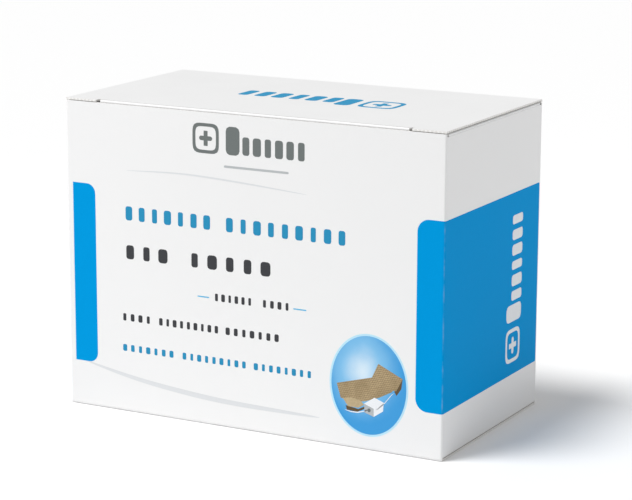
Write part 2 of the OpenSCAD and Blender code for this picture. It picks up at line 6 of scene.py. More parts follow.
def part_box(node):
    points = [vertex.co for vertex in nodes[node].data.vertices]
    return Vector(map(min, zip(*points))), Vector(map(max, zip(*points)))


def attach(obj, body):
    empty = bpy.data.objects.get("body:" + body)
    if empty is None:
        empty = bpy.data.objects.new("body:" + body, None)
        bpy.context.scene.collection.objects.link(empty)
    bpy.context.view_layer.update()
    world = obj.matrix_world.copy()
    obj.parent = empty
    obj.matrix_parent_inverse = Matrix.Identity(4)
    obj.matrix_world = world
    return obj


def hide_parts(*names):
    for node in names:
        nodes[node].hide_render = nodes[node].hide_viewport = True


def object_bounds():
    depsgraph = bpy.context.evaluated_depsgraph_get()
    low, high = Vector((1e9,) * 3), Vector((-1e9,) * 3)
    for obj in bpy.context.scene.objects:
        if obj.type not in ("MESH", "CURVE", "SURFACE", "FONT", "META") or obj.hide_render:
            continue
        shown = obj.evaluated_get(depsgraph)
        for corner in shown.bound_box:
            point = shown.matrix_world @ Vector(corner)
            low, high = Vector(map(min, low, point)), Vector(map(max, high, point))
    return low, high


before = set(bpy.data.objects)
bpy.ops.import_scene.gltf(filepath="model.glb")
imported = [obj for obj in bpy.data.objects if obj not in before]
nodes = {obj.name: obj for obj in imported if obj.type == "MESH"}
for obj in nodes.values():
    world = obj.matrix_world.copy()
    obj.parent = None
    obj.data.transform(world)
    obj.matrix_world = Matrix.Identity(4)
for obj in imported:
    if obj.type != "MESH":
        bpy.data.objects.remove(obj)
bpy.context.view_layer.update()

MM = 0.001
LOW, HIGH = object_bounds()
W, D, H = (HIGH[i] - LOW[i] for i in range(3))
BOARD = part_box("bottom_flap_front")[1][2]          # thickness of the board
FLUTE = 3.4 * MM                                   # pitch of the flutes in the carton's board
KRAFT_FLUTE = 6.2 * MM                             # and in the tray and divider
WIRE = 0.6 * MM                                    # pitch of the coil's winding


def srgb(r, g, b):
    """Linear colour from 8-bit display values."""
    return tuple(((c / 255 + 0.055) / 1.055) ** 2.4 if c > 10 else c / 255 / 12.92 for c in (r, g, b))


def middle(node):
    lo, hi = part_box(node)
    return Vector([(lo[i] + hi[i]) / 2 for i in range(3)])


# ---------- node materials ----------

class Nodes:
    """A material with a Principled shader, and short ways to add nodes to it."""

    def __init__(self, name):
        self.m = bpy.data.materials.new(name)
        self.m.use_nodes = True
        self.t = self.m.node_tree
        self.t.nodes.clear()
        out = self.t.nodes.new("ShaderNodeOutputMaterial")
        self.b = self.t.nodes.new("ShaderNodeBsdfPrincipled")
        self.t.links.new(self.b.outputs[0], out.inputs[0])
        co = self.t.nodes.new("ShaderNodeTexCoord")
        self.pos, self.nrm = co.outputs["Object"], co.outputs["Normal"]
        self.x, self.y, self.z = self.split(self.pos)

    def put(self, socket, value):
        if isinstance(value, bpy.types.NodeSocket):
            self.t.links.new(value, socket)
        elif isinstance(value, tuple) and len(value) == 3 and socket.type == "RGBA":
            socket.default_value = (*value, 1)
        else:
            socket.default_value = value

    def node(self, kind, ins=(), **props):
        n = self.t.nodes.new("ShaderNode" + kind)
        for k, v in props.items():
            setattr(n, k, v)
        for k, v in dict(ins).items():
            self.put(n.inputs[k], v)
        return n

    def split(self, vector):
        return self.node("SeparateXYZ", {0: vector}).outputs

    def math(self, op, a, b=0.0):
        return self.node("Math", {0: a, 1: b}, operation=op).outputs[0]

    def dot(self, vector, c):
        return self.node("VectorMath", {0: vector, 1: c}, operation="DOT_PRODUCT").outputs["Value"]

    def step(self, value, lo, hi):
        """0 below lo, 1 above hi."""
        return self.node("MapRange", {"Value": value, "From Min": lo, "From Max": hi},
                         interpolation_type="SMOOTHSTEP").outputs[0]

    def span(self, value, lo, hi, to_lo, to_hi):
        return self.node("MapRange", {"Value": value, "From Min": lo, "From Max": hi,
                                      "To Min": to_lo, "To Max": to_hi}).outputs[0]

    def mix(self, fac, a, b):
        n = self.t.nodes.new("ShaderNodeMix")
        n.data_type = "RGBA"
        self.put(n.inputs[0], fac)
        self.put(n.inputs[6], a)
        self.put(n.inputs[7], b)
        return n.outputs[2]

    def noise(self, scale, detail=3.0, rough=0.5, vector=None):
        return self.node("TexNoise", {"Vector": vector or self.pos, "Scale": scale, "Detail": detail,
                                      "Roughness": rough}).outputs["Fac"]

    def scaled(self, sx, sy, sz):
        return self.node("VectorMath", {0: self.pos, 1: (sx, sy, sz)}, operation="MULTIPLY").outputs[0]

    def bump(self, height, strength=0.3, distance=0.001):
        n = self.node("Bump", {"Height": height, "Strength": strength, "Distance": distance})
        self.put(self.b.inputs["Normal"], n.outputs[0])

    def set(self, **ins):
        names = {"colour": "Base Color", "rough": "Roughness", "metal": "Metallic", "coat": "Coat Weight",
                 "coat_rough": "Coat Roughness", "sheen": "Sheen Weight", "clear": "Transmission Weight",
                 "ior": "IOR", "soft": "Subsurface Weight", "spec": "Specular IOR Level",
                 "glow": "Emission Strength", "glow_colour": "Emission Color"}
        for k, v in ins.items():
            self.put(self.b.inputs[names[k]], v)
        return self.m


def moulded(name, colour, rough=0.4, vary=0.05, grain=0.25, grain_scale=1400, coat=0.0, soft=0.0, clear=0.0):
    """Moulded plastic or rubber: fine spark-eroded grain, faint flow marks and handling marks."""
    g = Nodes(name)
    flow = g.noise(22, 4, 0.6)
    dark = tuple(c * (1 - 2.2 * vary) for c in colour)
    light = tuple(min(1.0, c * (1 + vary)) for c in colour)
    g.bump(g.noise(grain_scale, 2, 0.6), grain, 0.00012)
    return g.set(colour=g.mix(g.step(flow, 0.3, 0.75), dark, light), coat=coat, coat_rough=0.12,
                 rough=g.span(g.noise(60, 5, 0.7), 0.3, 0.7, rough - 0.05, rough + 0.09),
                 soft=soft, clear=clear)


def metal(name, colour, rough=0.32, along=(60, 60, 3000)):
    """Brushed or plated metal, with the brushing stretched across one direction."""
    g = Nodes(name)
    lines = g.noise(1.0, 5, 0.7, g.scaled(*along))
    g.bump(lines, 0.12, 0.0002)
    dull = tuple(c * 0.72 for c in colour)
    return g.set(colour=g.mix(g.step(g.noise(35, 5, 0.65), 0.35, 0.8), colour, dull), metal=1.0,
                 rough=g.span(lines, 0.2, 0.8, rough - 0.08, rough + 0.14))


WHITE = srgb(241, 241, 241)
LINER = srgb(196, 193, 187)


def carton_board(name, facing=None, cut_side=None):
    """Gloss-coated white board with a grey back. Cut edges show the flutes.
    facing points out of the coated side; without it the coated side is the outside of the sleeve.
    cut_side is one more direction that a cut edge faces."""
    g = Nodes(name)
    if facing is None:
        dx = g.math("MAXIMUM", g.math("SUBTRACT", g.math("ABSOLUTE", g.x), W / 2 - BOARD), 0.0)
        dy = g.math("MAXIMUM", g.math("SUBTRACT", g.math("ABSOLUTE", g.y), D / 2 - BOARD), 0.0)
        out = g.step(g.math("SQRT", g.math("ADD", g.math("MULTIPLY", dx, dx), g.math("MULTIPLY", dy, dy))),
                     BOARD * 0.45, BOARD * 0.55)
        edge = g.step(g.math("ABSOLUTE", g.split(g.nrm)[2]), 0.6, 0.75)
    else:
        side = g.dot(g.nrm, facing)
        out = g.step(side, 0.1, 0.14)
        edge = g.math("SUBTRACT", 1.0, g.step(g.math("ABSOLUTE", side), 0.08, 0.12))
        if cut_side:
            edge = g.math("MAXIMUM", edge, g.step(g.dot(g.nrm, cut_side), 0.85, 0.95))
    # the liner over the flutes lets a faint ripple through; the coating has a slight orange peel
    along = g.math("ADD", g.x, g.y)
    flute = g.math("SINE", g.math("MULTIPLY", along, 2 * math.pi / FLUTE))
    fibre = g.noise(900, 4, 0.7)
    peel = g.noise(170, 3, 0.5)
    tint = g.noise(7, 3, 0.5)
    coated = g.mix(g.step(tint, 0.0, 1.0), tuple(c * 0.985 for c in WHITE), WHITE)
    back = g.mix(g.step(fibre, 0.35, 0.7), tuple(c * 0.84 for c in LINER), LINER)
    cut = g.mix(g.step(flute, -0.2, 0.55), srgb(230, 228, 225), srgb(243, 242, 240))
    colour = g.mix(edge, g.mix(out, back, coated), cut)
    ripple = g.math("ADD", g.math("MULTIPLY", flute, 0.10), g.math("MULTIPLY", peel, 0.55))
    rough = g.math("ADD", g.math("MULTIPLY", g.math("SUBTRACT", 1.0, out), 0.45),
                   g.span(g.noise(30, 2, 0.5), 0.0, 1.0, 0.30, 0.42))
    height = g.math("ADD", ripple, g.math("MULTIPLY", g.math("SUBTRACT", 1.0, out), fibre))
    g.bump(height, 0.05, 0.0003)
    return g.set(colour=colour, rough=rough, ior=1.25, coat=g.math("MULTIPLY", out, 0.12), coat_rough=0.12)


def corrugated(name):
    """Plain unprinted board: fibres, faint flute lines and a few darker specks."""
    g = Nodes(name)
    fibre = g.noise(1.0, 5, 0.7, g.scaled(260, 700, 260))
    flute = g.math("SINE", g.math("MULTIPLY", g.math("ADD", g.x, g.z), 2 * math.pi / KRAFT_FLUTE))
    base = g.mix(g.step(fibre, 0.3, 0.75), srgb(150, 122, 90), srgb(186, 158, 122))
    specks = g.step(g.noise(1500, 2, 0.6), 0.66, 0.74)
    g.bump(g.math("ADD", g.math("MULTIPLY", flute, 0.5), fibre), 0.28, 0.0004)
    shade = g.mix(g.step(flute, -0.4, 0.9), tuple(c * 0.9 for c in srgb(180, 152, 118)), base)
    return g.set(colour=g.mix(g.math("MULTIPLY", specks, 0.45), g.mix(0.6, shade, base), srgb(96, 74, 52)),
                 rough=0.86)


def ink(name, rgb, vary=0.03, gloss=0.34):
    """Printed ink under varnish: a fine halftone mottle, and a painted highlight along the sleeve's creases,
    where the ink is paled towards white in patches.
    """
    g = Nodes(name)
    c = srgb(*rgb)
    mottle = g.noise(650, 3, 0.6)
    ax = g.math("SUBTRACT", g.math("ABSOLUTE", g.x), W / 2 - BOARD * 0.4)
    ay = g.math("SUBTRACT", g.math("ABSOLUTE", g.y), D / 2 - BOARD * 0.4)
    # painted highlight: in patches along the rounded creases of the sleeve the ink is paled towards white
    crease_highlight = g.math("MULTIPLY", g.step(g.math("MINIMUM", ax, ay), -0.0007, 0.0002),
                 g.step(g.noise(90, 4, 0.6), 0.35, 0.85))
    g.bump(g.noise(170, 3, 0.5), 0.04, 0.0003)
    flat = g.mix(g.step(mottle, 0.35, 0.7), tuple(v * (1 - vary) for v in c), c)
    return g.set(colour=g.mix(g.math("MULTIPLY", crease_highlight, 0.22), flat, WHITE), ior=1.05,
                 rough=g.span(g.noise(30, 2, 0.5), 0.0, 1.0, gloss - 0.04, gloss + 0.08))


def vinyl(name):
    """Tan PVC film of the mattress: a soft sheen, long wrinkles, and pale stress marks where it folds."""
    g = Nodes(name)
    wrinkle = g.noise(1.0, 6, 0.62, g.scaled(90, 34, 90))
    stress = g.step(g.math("ABSOLUTE", g.math("SUBTRACT", wrinkle, 0.5)), 0.035, 0.0)
    pebble = g.noise(2200, 2, 0.6)
    tone = g.mix(g.step(g.noise(26, 5, 0.6), 0.32, 0.72), srgb(160, 140, 108), srgb(184, 165, 132))
    marked = g.mix(g.math("MULTIPLY", stress, 0.16), tone, srgb(206, 190, 160))
    g.bump(g.math("ADD", g.math("MULTIPLY", wrinkle, 1.0), g.math("MULTIPLY", pebble, 0.10)), 0.4, 0.0014)
    return g.set(colour=marked, rough=g.span(g.noise(45, 4, 0.6), 0.0, 1.0, 0.30, 0.46), coat=0.22,
                 coat_rough=0.2, sheen=0.05)


def winding(name):
    """Varnished copper wire laid side by side, with painted shade in the grooves between the wires and a
    painted highlight on each wire's crest.
    """
    g = Nodes(name)
    wire = g.math("SINE", g.math("MULTIPLY", g.y, 2 * math.pi / WIRE))
    g.bump(wire, 0.5, 0.0002)
    # painted shade and highlight: dark brown between the wires, bright copper on their crests
    return g.set(colour=g.mix(g.step(wire, -0.6, 0.8), srgb(96, 42, 18), srgb(190, 104, 52)), metal=0.7,
                 rough=0.3, coat=0.5)


M = {
    "sleeve": carton_board("sleeve_board"),
    "lid": carton_board("lid_board", (0.0, 0.6, 0.8), (0.0, -1.0, 0.0)),
    "tuck": carton_board("tuck_board", (0.0, -0.98, 0.2)),
    "dust_left": carton_board("dust_left_board", (-0.6, 0.0, 0.8)),
    "dust_right": carton_board("dust_right_board", (0.6, 0.0, 0.8)),
    "base_front": carton_board("base_front_board", (0.0, -0.6, -0.8)),
    "base_back": carton_board("base_back_board", (0.0, 0.6, -0.8)),
    "base_left": carton_board("base_left_board", (-0.6, 0.0, -0.8)),
    "base_right": carton_board("base_right_board", (0.6, 0.0, -0.8)),
    "glue": carton_board("glue_flap_board", (0.0, 0.9, 0.0)),
    "kraft": corrugated("kraft_board"),
    "vinyl": vinyl("mattress_vinyl"),
    "tube": moulded("clear_tube", srgb(206, 210, 204), 0.16, 0.03, 0.05, coat=0.5, soft=0.25, clear=0.35),
    "paper": moulded("booklet_paper", srgb(236, 236, 232), 0.62, 0.02, 0.3, 2200),
    "cord": moulded("cord_rubber", srgb(196, 198, 197), 0.46, 0.04, 0.2, 900),
    "tie": moulded("tie_plastic", srgb(38, 38, 40), 0.42, 0.08),
    "case": moulded("case_plastic", srgb(232, 233, 230), 0.38, 0.02, 0.42, 1100, coat=0.1),
    "knob": moulded("knob_plastic", srgb(240, 240, 240), 0.30, 0.02, 0.15, coat=0.2),
    "panel": moulded("panel_print", srgb(176, 207, 228), 0.30, 0.03, 0.15, coat=0.3),
    "dark": moulded("dark_plastic", srgb(46, 47, 50), 0.42, 0.08, 0.3),
    "green": moulded("rocker_plastic", srgb(24, 150, 70), 0.24, 0.05, 0.08, coat=0.4, soft=0.1),
    "lamp": moulded("lamp_lens", srgb(90, 214, 110), 0.12, 0.04, 0.03, coat=0.6, soft=0.2, clear=0.25),
    "natural": moulded("natural_plastic", srgb(226, 222, 208), 0.36, 0.03, 0.2, soft=0.12),
    "rubber": moulded("foot_rubber", srgb(44, 44, 45), 0.78, 0.10, 0.5, 800),
    "steel": metal("steel", srgb(196, 198, 200), 0.30),
    "zinc": metal("zinc_plate", srgb(208, 208, 200), 0.36, (420, 420, 420)),
    "brass": metal("pin_brass", srgb(222, 196, 120), 0.22, (900, 60, 60)),
    "pcb": moulded("board_laminate", srgb(28, 104, 62), 0.34, 0.10, 0.2, 500, coat=0.3),
    "blue_part": moulded("blue_part", srgb(52, 92, 168), 0.28, 0.06, 0.1, coat=0.3),
    "copper": winding("copper_winding"),
}


LOOKS = {
    "sleeve": "carton_sleeve", "lid": "lid_panel", "tuck": "tuck_flap", "dust_left": "dust_flap_left",
    "dust_right": "dust_flap_right", "base_front": "bottom_flap_front", "base_back": "bottom_flap_back",
    "base_left": "bottom_flap_left", "base_right": "bottom_flap_right", "glue": "glue_flap",
    "kraft": "divider_panel pump_tray", "vinyl": "repair_patches air_mattress",
    "tube": "mattress_inlets air_hose_a air_hose_b air_tubes", "paper": "instruction_booklet",
    "cord": "power_cord mains_plug cord_grommet", "tie": "hose_tie cord_tie",
    "case": "pump_front_case pump_back_case", "knob": "pressure_knob distributor_rotor",
    "panel": "control_panel", "dark": "switch_bezel switch_body fuse_holder fuse_cap",
    "green": "switch_rocker", "lamp": "power_lamp",
    "natural": "hose_connectors pressure_valve air_outlets valve_chambers distributor_cap",
    "rubber": "pump_feet chassis_mounts diaphragms",
    "steel": "knob_shaft hook_pins magnet_core armature_left armature_right armature_pins",
    "zinc": "hook_left hook_right case_screws chassis_plate distributor_motor", "brass": "plug_pins",
    "pcb": "circuit_board", "blue_part": "board_parts", "copper": "magnet_coil",
}
for look, names in LOOKS.items():
    for n in names.split():
        o = nodes[n]
        o.data.materials.clear()
        o.data.materials.append(M[look])


# ---------- mesh helpers ----------

INK_TOP = 0.00006                                  # height of a printed film above the board
INK_BASE = -0.00003                                # its underside, just inside the board


def piece(name, verts, faces, material, body, slot=None, smooth=False):
    me = bpy.data.meshes.new(name)
    me.from_pydata([tuple(v) for v in verts], [], faces)
    bm = bmesh.new()
    bm.from_mesh(me)
    bmesh.ops.recalc_face_normals(bm, faces=bm.faces)
    bm.to_mesh(me)
    bm.free()
    if smooth:
        me.polygons.foreach_set("use_smooth", [True] * len(me.polygons))
    o = bpy.data.objects.new(name, me)
    bpy.context.scene.collection.objects.link(o)
    me.materials.append(material)
    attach(o, body)
    return o


def join(parts):
    """One list of vertices and faces from several."""
    verts, faces = [], []
    for v, f in parts:
        k = len(verts)
        verts += v
        faces += [tuple(i + k for i in q) for q in f]
    return verts, faces


def skin(rings, n):
    """Faces between neighbouring rings of n points. rings holds the number of each ring's first point."""
    return [(a + k, a + (k + 1) % n, b + (k + 1) % n, b + k)
            for a, b in zip(rings, rings[1:]) for k in range(n)]


def loop_faces(rings, n):
    """Faces of a closed band made of that many rings of n points."""
    return skin([n * i for i in range(rings)] + [0], n)


def columns(u0, u1, low, high, place, step=0.004, lift=INK_TOP):
    """A printed area between the curves low(u) and high(u), as a thin closed film on a surface.
    place(u, v, lift) gives the point on the object at a height above the surface."""
    n = max(2, math.ceil((u1 - u0) / step))
    us = [u0 + (u1 - u0) * (0.5 - 0.5 * math.cos(math.pi * i / n)) for i in range(n + 1)]
    verts, faces = [], []
    for i, u in enumerate(us):
        lo, hi = low(u), high(u)
        hi = max(hi, lo + 0.00002)
        verts += [place(u, lo, lift), place(u, hi, lift), place(u, hi, INK_BASE), place(u, lo, INK_BASE)]
        if i:
            a, b = 4 * i - 4, 4 * i
            faces += [(a + j, b + j, b + (j + 1) % 4, a + (j + 1) % 4) for j in range(4)]
    return verts, faces + [(0, 1, 2, 3), (4 * n + 3, 4 * n + 2, 4 * n + 1, 4 * n)]


def rounded(u0, u1, v0, v1, place, left=0.0, right=0.0, step=0.002, lift=INK_TOP):
    """A printed rectangle with corner radii at its left and right ends."""
    def inset(u):
        for r, d in ((left, u - u0), (right, u1 - u)):
            if r and d < r:
                return r - math.sqrt(max(r * r - (r - max(d, 0)) ** 2, 0))
        return 0.0
    return columns(u0, u1, lambda u: v0 + inset(u), lambda u: v1 - inset(u), place, step, lift)


def ellipse(u, v, a, b, place, n=48, lift=INK_TOP):
    curve = lambda s: b * math.sqrt(max(1 - ((s - u) / a) ** 2, 0))
    return columns(u - a, u + a, lambda s: v - curve(s), lambda s: v + curve(s), place, 2 * a / n, lift)


# ---------- print on the carton ----------

SX, SY = W / 2 - BOARD, D / 2 - BOARD
ARC = math.pi / 2 * BOARD


def on_sleeve(turn):
    """Maps (u, v) to the sleeve: u runs right from the middle of the front and round the right crease
    on to the side, v is the height. turn 1 is the back and left, which repeat the front and right."""
    def place(u, v, lift):
        r = BOARD + lift
        if u > SX + ARC:
            p = (SX + r, -SY + (u - SX - ARC), v)
        elif u > SX:
            a = (u - SX) / BOARD
            p = (SX + r * math.sin(a), -SY - r * math.cos(a), v)
        else:
            p = (u, -SY - r, v)
        return (-p[0], -p[1], p[2]) if turn else p
    return place


def blocks(u0, u1, v0, v1, count, place, fill=0.46, share=0.72, lift=INK_TOP):
    """A word as a row of plain rounded blocks."""
    parts = []
    pitch = (u1 - u0) / count
    h = (v1 - v0) * share
    mid = (v0 + v1) / 2
    for i in range(count):
        w = pitch * (fill + 0.10 * math.sin(2.4 * i + count))
        c = u0 + pitch * (i + 0.5)
        r = min(w, h) * 0.3
        parts.append(rounded(c - w / 2, c + w / 2, mid - h / 2, mid + h / 2, place, r, r, w / 6, lift))
    return parts


def emblem(u, v, size, place, lift=INK_TOP):
    """A round-cornered square outline with a plus inside."""
    s, t = size / 2, size * 0.11
    parts = []
    n = 40
    ring = []
    for i in range(n):
        a = 2 * math.pi * i / n
        ca, sa = math.cos(a), math.sin(a)
        k = 1 / (abs(ca) ** 5 + abs(sa) ** 5) ** 0.2
        ring += [place(u + r * k * ca, v + r * k * sa, h)
                 for r, h in ((s, lift), (s - t, lift), (s - t, INK_BASE), (s, INK_BASE))]
    parts.append((ring, loop_faces(n, 4)))
    b = size * 0.075
    parts.append(rounded(u - s * 0.5, u + s * 0.5, v - b, v + b, place, b, b, size / 20, lift))
    for side in (-1, 1):
        lo, hi = (b, s * 0.5) if side > 0 else (-s * 0.5, -b)
        parts.append(rounded(u - b, u + b, v + lo, v + hi, place, 0, 0, size / 20, lift))
    return parts


INK = {
    "blue": ink("ink_blue", (2, 153, 222), 0.02),
    "teal": ink("ink_teal", (50, 146, 190)),
    "dark": ink("ink_dark", (70, 71, 74)),
    "grey": ink("ink_grey", (116, 122, 121)),
    "pale": ink("ink_pale", (186, 190, 192)),
    "sky": ink("ink_sky", (98, 186, 226)),
    "white": ink("ink_white", (240, 243, 246)),
    "ghost": ink("ink_ghost", (222, 224, 226), 0.01),
}


def left_of(mm):
    return -W / 2 + mm * MM


def arc_strip(points, thick, place, lift=0.00005):
    """A tapering curved stripe through the points."""
    pts = np.array(points) * MM
    us = np.linspace(pts[0][0], pts[-1][0], 40)
    vs = np.interp(us, pts[:, 0], pts[:, 1])
    for _ in range(30):                                # rounds the bends of the polyline
        vs[1:-1] = (vs[:-2] + vs[2:] + 2 * vs[1:-1]) / 4
    u0, u1 = us[0], us[-1]
    mid = lambda u: float(np.interp(u, us, vs))
    half = lambda u: thick * MM / 2 * max(math.sin(math.pi * (u - u0) / (u1 - u0)), 0.0) ** 0.5
    at = lambda u, v, l: place(-W / 2 + u, v, l)
    return [columns(u0, u1, lambda u: mid(u) - half(u), lambda u: mid(u) + half(u), at, 0.004, lift)]


def word_row(words, v0, v1, place, **kw):
    parts = []
    for a, b, n in words:
        parts += blocks(left_of(a), left_of(b), v0 * MM, v1 * MM, n, place, **kw)
    return parts


def oval_ink():
    """Blue backdrop of the printed oval: a pale glow low in the middle, deeper blue at the rim."""
    g = Nodes("ink_oval")
    c = OVAL
    du = g.math("DIVIDE", g.math("SUBTRACT", g.math("ABSOLUTE", g.x), abs(c[0]) - 0.005), OVAL_A)
    dv = g.math("DIVIDE", g.math("SUBTRACT", g.z, c[1] + 0.011), OVAL_B)
    dist = g.math("SQRT", g.math("ADD", g.math("MULTIPLY", du, du), g.math("MULTIPLY", dv, dv)))
    d = g.math("ADD", dist, g.math("MULTIPLY", g.math("SUBTRACT", g.noise(60, 3, 0.5), 0.5), 0.25))
    inner = g.mix(g.step(d, 0.0, 0.6), srgb(216, 235, 248), srgb(132, 194, 235))
    return g.set(colour=g.mix(g.step(d, 0.45, 1.15), inner, srgb(70, 158, 220)), rough=0.28, ior=1.1)


def picture_vinyl():
    """Printed picture of the bubble mattress: rows of small round cells."""
    g = Nodes("ink_mattress")
    along = g.math("ADD", g.math("ABSOLUTE", g.x), g.math("MULTIPLY", g.z, 0.5))
    across = g.math("SUBTRACT", g.z, g.math("MULTIPLY", g.math("ABSOLUTE", g.x), 0.27))
    skew = g.node("CombineXYZ", {0: along, 1: across, 2: 0.0}).outputs[0]
    cell = g.node("TexVoronoi", {"Vector": skew, "Scale": 620.0, "Randomness": 0.15}).outputs["Distance"]
    tone = g.mix(g.step(g.noise(90, 3, 0.5), 0.3, 0.7), srgb(168, 148, 114), srgb(192, 170, 134))
    return g.set(colour=g.mix(g.step(cell, 0.2, 0.65), tone, srgb(140, 121, 90)), rough=0.3, ior=1.1)


OVAL = (276.8 * MM - W / 2, 52 * MM)
OVAL_A, OVAL_B = 32.5 * MM, 39.4 * MM
INK["oval"] = oval_ink()
INK["mattress"] = picture_vinyl()
INK["shade"] = ink("ink_shade", (104, 88, 66))
INK["fold"] = ink("ink_fold", (196, 176, 140), 0.12)
INK["rim"] = ink("ink_rim", (190, 232, 250))


def polygon(points, place, lift):
    """A printed polygon given in millimetres from the left edge and the base."""
    n = len(points)
    verts = [place(left_of(x), z * MM, h) for h in (lift, INK_BASE) for x, z in points]
    return [(verts, [tuple(range(n)), tuple(range(2 * n - 1, n - 1, -1))]
             + [(i, i + n, (i + 1) % n + n, (i + 1) % n) for i in range(n)])]


def print_face(turn):
    """Front and right side print; the back and left repeat it."""
    tag = "back" if turn else "front"
    at = on_sleeve(turn)
    crease = SX + ARC
    side = lambda mm: crease + mm * MM - BOARD         # distance from the front edge, on the side
    layers = {k: [] for k in INK}
    layers["blue"].append(rounded(left_of(5.5), left_of(27), 37.5 * MM, 187 * MM, at, 0, 8 * MM))
    layers["blue"].append(rounded(left_of(317), side(179.5), 37.5 * MM, 188 * MM, at, 10 * MM, 1.5 * MM,
                                  0.0006))
    layers["teal"] += word_row([(53, 138, 7), (146.5, 259, 9)], 158, 174, at)
    layers["dark"] += word_row([(52, 98.6, 3), (112.4, 193.4, 5)], 126, 142, at)
    layers["dark"] += word_row([(137.5, 174, 6), (181, 208, 4)], 102, 110, at, share=0.76)
    layers["dark"] += word_row([(50, 80, 4), (85, 143.5, 9), (147, 199, 7)], 75.5, 83.5, at, share=0.76)
    layers["teal"] += word_row([(50, 101.7, 7), (106.8, 169, 9), (173, 228, 8)], 50, 57.5, at, share=0.76)
    for a, b in ((122.7, 134), (210, 222)):
        layers["sky"].append(rounded(left_of(a), left_of(b), 104.6 * MM, 105.6 * MM, at, 0.0005, 0.0005))
    layers["grey"] += emblem(left_of(131.5), 233.5 * MM, 24 * MM, at)
    layers["grey"] += blocks(left_of(149), left_of(163), 222 * MM, 244.5 * MM, 1, at, 0.8, 1.0)
    layers["grey"] += blocks(left_of(163), left_of(222), 222 * MM, 238 * MM, 6, at, 0.66, 0.9)
    layers["pale"].append(rounded(left_of(148), left_of(206), 211.6 * MM, 213.4 * MM, at, 0.0009, 0.0009))
    layers["ghost"] += arc_strip([(14, 38), (40, 32.5), (67, 27.5), (142, 20.5), (234, 20)], 4.2, at)
    layers["ghost"] += arc_strip([(57, 201), (109, 203.6), (164, 201), (222, 197)], 1.4, at)
    # side mark, turned to read upwards
    up = lambda u, v, lift: at(side(147) - v, u, lift)
    layers["white"] += emblem(62 * MM, 15.5 * MM, 28 * MM, up, 0.00009)
    layers["white"] += blocks(81 * MM, 97 * MM, 0, 29 * MM, 1, up, 0.8, 1.0, 0.00009)
    layers["white"] += blocks(97 * MM, 172 * MM, 0, 20 * MM, 6, up, 0.66, 1.0, 0.00009)
    # oval picture
    u, v = OVAL
    layers["rim"].append(ellipse(u, v, OVAL_A + 0.0016, OVAL_B + 0.0016, at, lift=0.00005))
    layers["oval"].append(ellipse(u, v, OVAL_A, OVAL_B, at, lift=0.00009))
    layers["shade"] += polygon([(257, 33.5), (268, 32), (276, 36), (281, 39), (278, 35), (267, 29.5),
                                (258, 30)], at, 0.00011)
    layers["shade"] += polygon([(299, 50), (306, 61), (305, 53), (301, 47)], at, 0.00011)
    layers["mattress"] += polygon([(249, 50.5), (252.5, 39), (262, 37), (274, 39), (286, 43.5), (297, 49.5),
                                   (303, 60), (282, 59.5)], at, 0.00013)
    layers["mattress"] += polygon([(279.5, 58.5), (285, 70.5), (306, 61), (300.5, 50.5), (290, 52)],
                                  at, 0.00015)
    layers["fold"] += polygon([(254.5, 39), (262, 40.5), (270, 39), (273, 36), (268, 33), (259, 33)],
                              at, 0.00016)
    layers["white"] += arc_strip([(283, 33), (290, 38), (294, 45), (299, 49)], 0.9, at, 0.00016)
    layers["white"] += arc_strip([(256, 30), (264, 28.5), (272, 30), (279, 34)], 0.9, at, 0.00016)
    layers["white"] += polygon([(273, 37), (282, 43), (290, 40), (281.5, 34)], at, 0.00016)
    layers["pale"] += polygon([(273, 37), (281.5, 34), (281.5, 27.5), (273.5, 30)], at, 0.00016)
    layers["white"] += polygon([(281.5, 34), (290, 40), (289.5, 33), (281.5, 27.5)], at, 0.00016)
    layers["grey"].append(ellipse(left_of(277.4), 32.2 * MM, 0.0014, 0.0015, at, 16, 0.0002))
    for k, parts in layers.items():
        if parts:
            piece(f"{tag}_print_{k}", *join(parts), INK[k], "carton", "white_board")


for turn in (0, 1):
    print_face(turn)

# the lid's mark reads from the back
on_lid = lambda u, v, lift: (-u, -v, H + lift)
mark = emblem(-71 * MM, 1 * MM, 33 * MM, on_lid)
mark += blocks(-49 * MM, -33 * MM, -15 * MM, 17 * MM, 1, on_lid, 0.8, 1.0)
mark += blocks(-33 * MM, 61 * MM, -15 * MM, 9 * MM, 6, on_lid, 0.66, 1.0)
piece("lid_print_mark", *join(mark), INK["teal"], "lid", "white_board")


# ---------- soft goods and fittings inside the carton ----------

def centre_path(points, closed=False):
    """The points of a path as an array, and its unit tangents."""
    p = np.array(points, float)
    if closed:
        t = np.roll(p, -1, 0) - np.roll(p, 1, 0)
    else:
        t = np.gradient(p, axis=0)
    return p, t / np.linalg.norm(t, axis=1)[:, None]


def sweep(points, section, up=(0, 0, 1), closed=False, ends=True):
    """Sweeps a closed section along a path. section is a list of (side, height), or a function of the
    point's number that returns one; up is the direction of height."""
    p, t = centre_path(points, closed)
    verts, n, count = [], len(p), 0
    for i in range(n):
        side = np.cross(t[i], up)
        side /= np.linalg.norm(side)
        high = np.cross(side, t[i])
        ring = section(i) if callable(section) else section
        count = len(ring)
        verts += [tuple(p[i] + side * a + high * b) for a, b in ring]
    faces = loop_faces(n, count) if closed else skin([i * count for i in range(n)], count)
    if not closed and ends:
        faces += [tuple(range(count)), tuple(range(n * count - 1, (n - 1) * count - 1, -1))]
    return verts, faces


def circle(r, n=16):
    return [(r * math.cos(2 * math.pi * k / n), r * math.sin(2 * math.pi * k / n)) for k in range(n)]


def hose(points, r, bore, n=16):
    """An open tube with a wall, along a path."""
    outer, outer_faces = sweep(points, circle(r, n), ends=False)
    inner, inner_faces = sweep(points, circle(bore, n), ends=False)
    k = len(outer)
    faces = outer_faces + [tuple(i + k for i in reversed(f)) for f in inner_faces]
    for a in (0, k - n):
        faces += skin([a, k + a], n)
    return outer + inner, faces


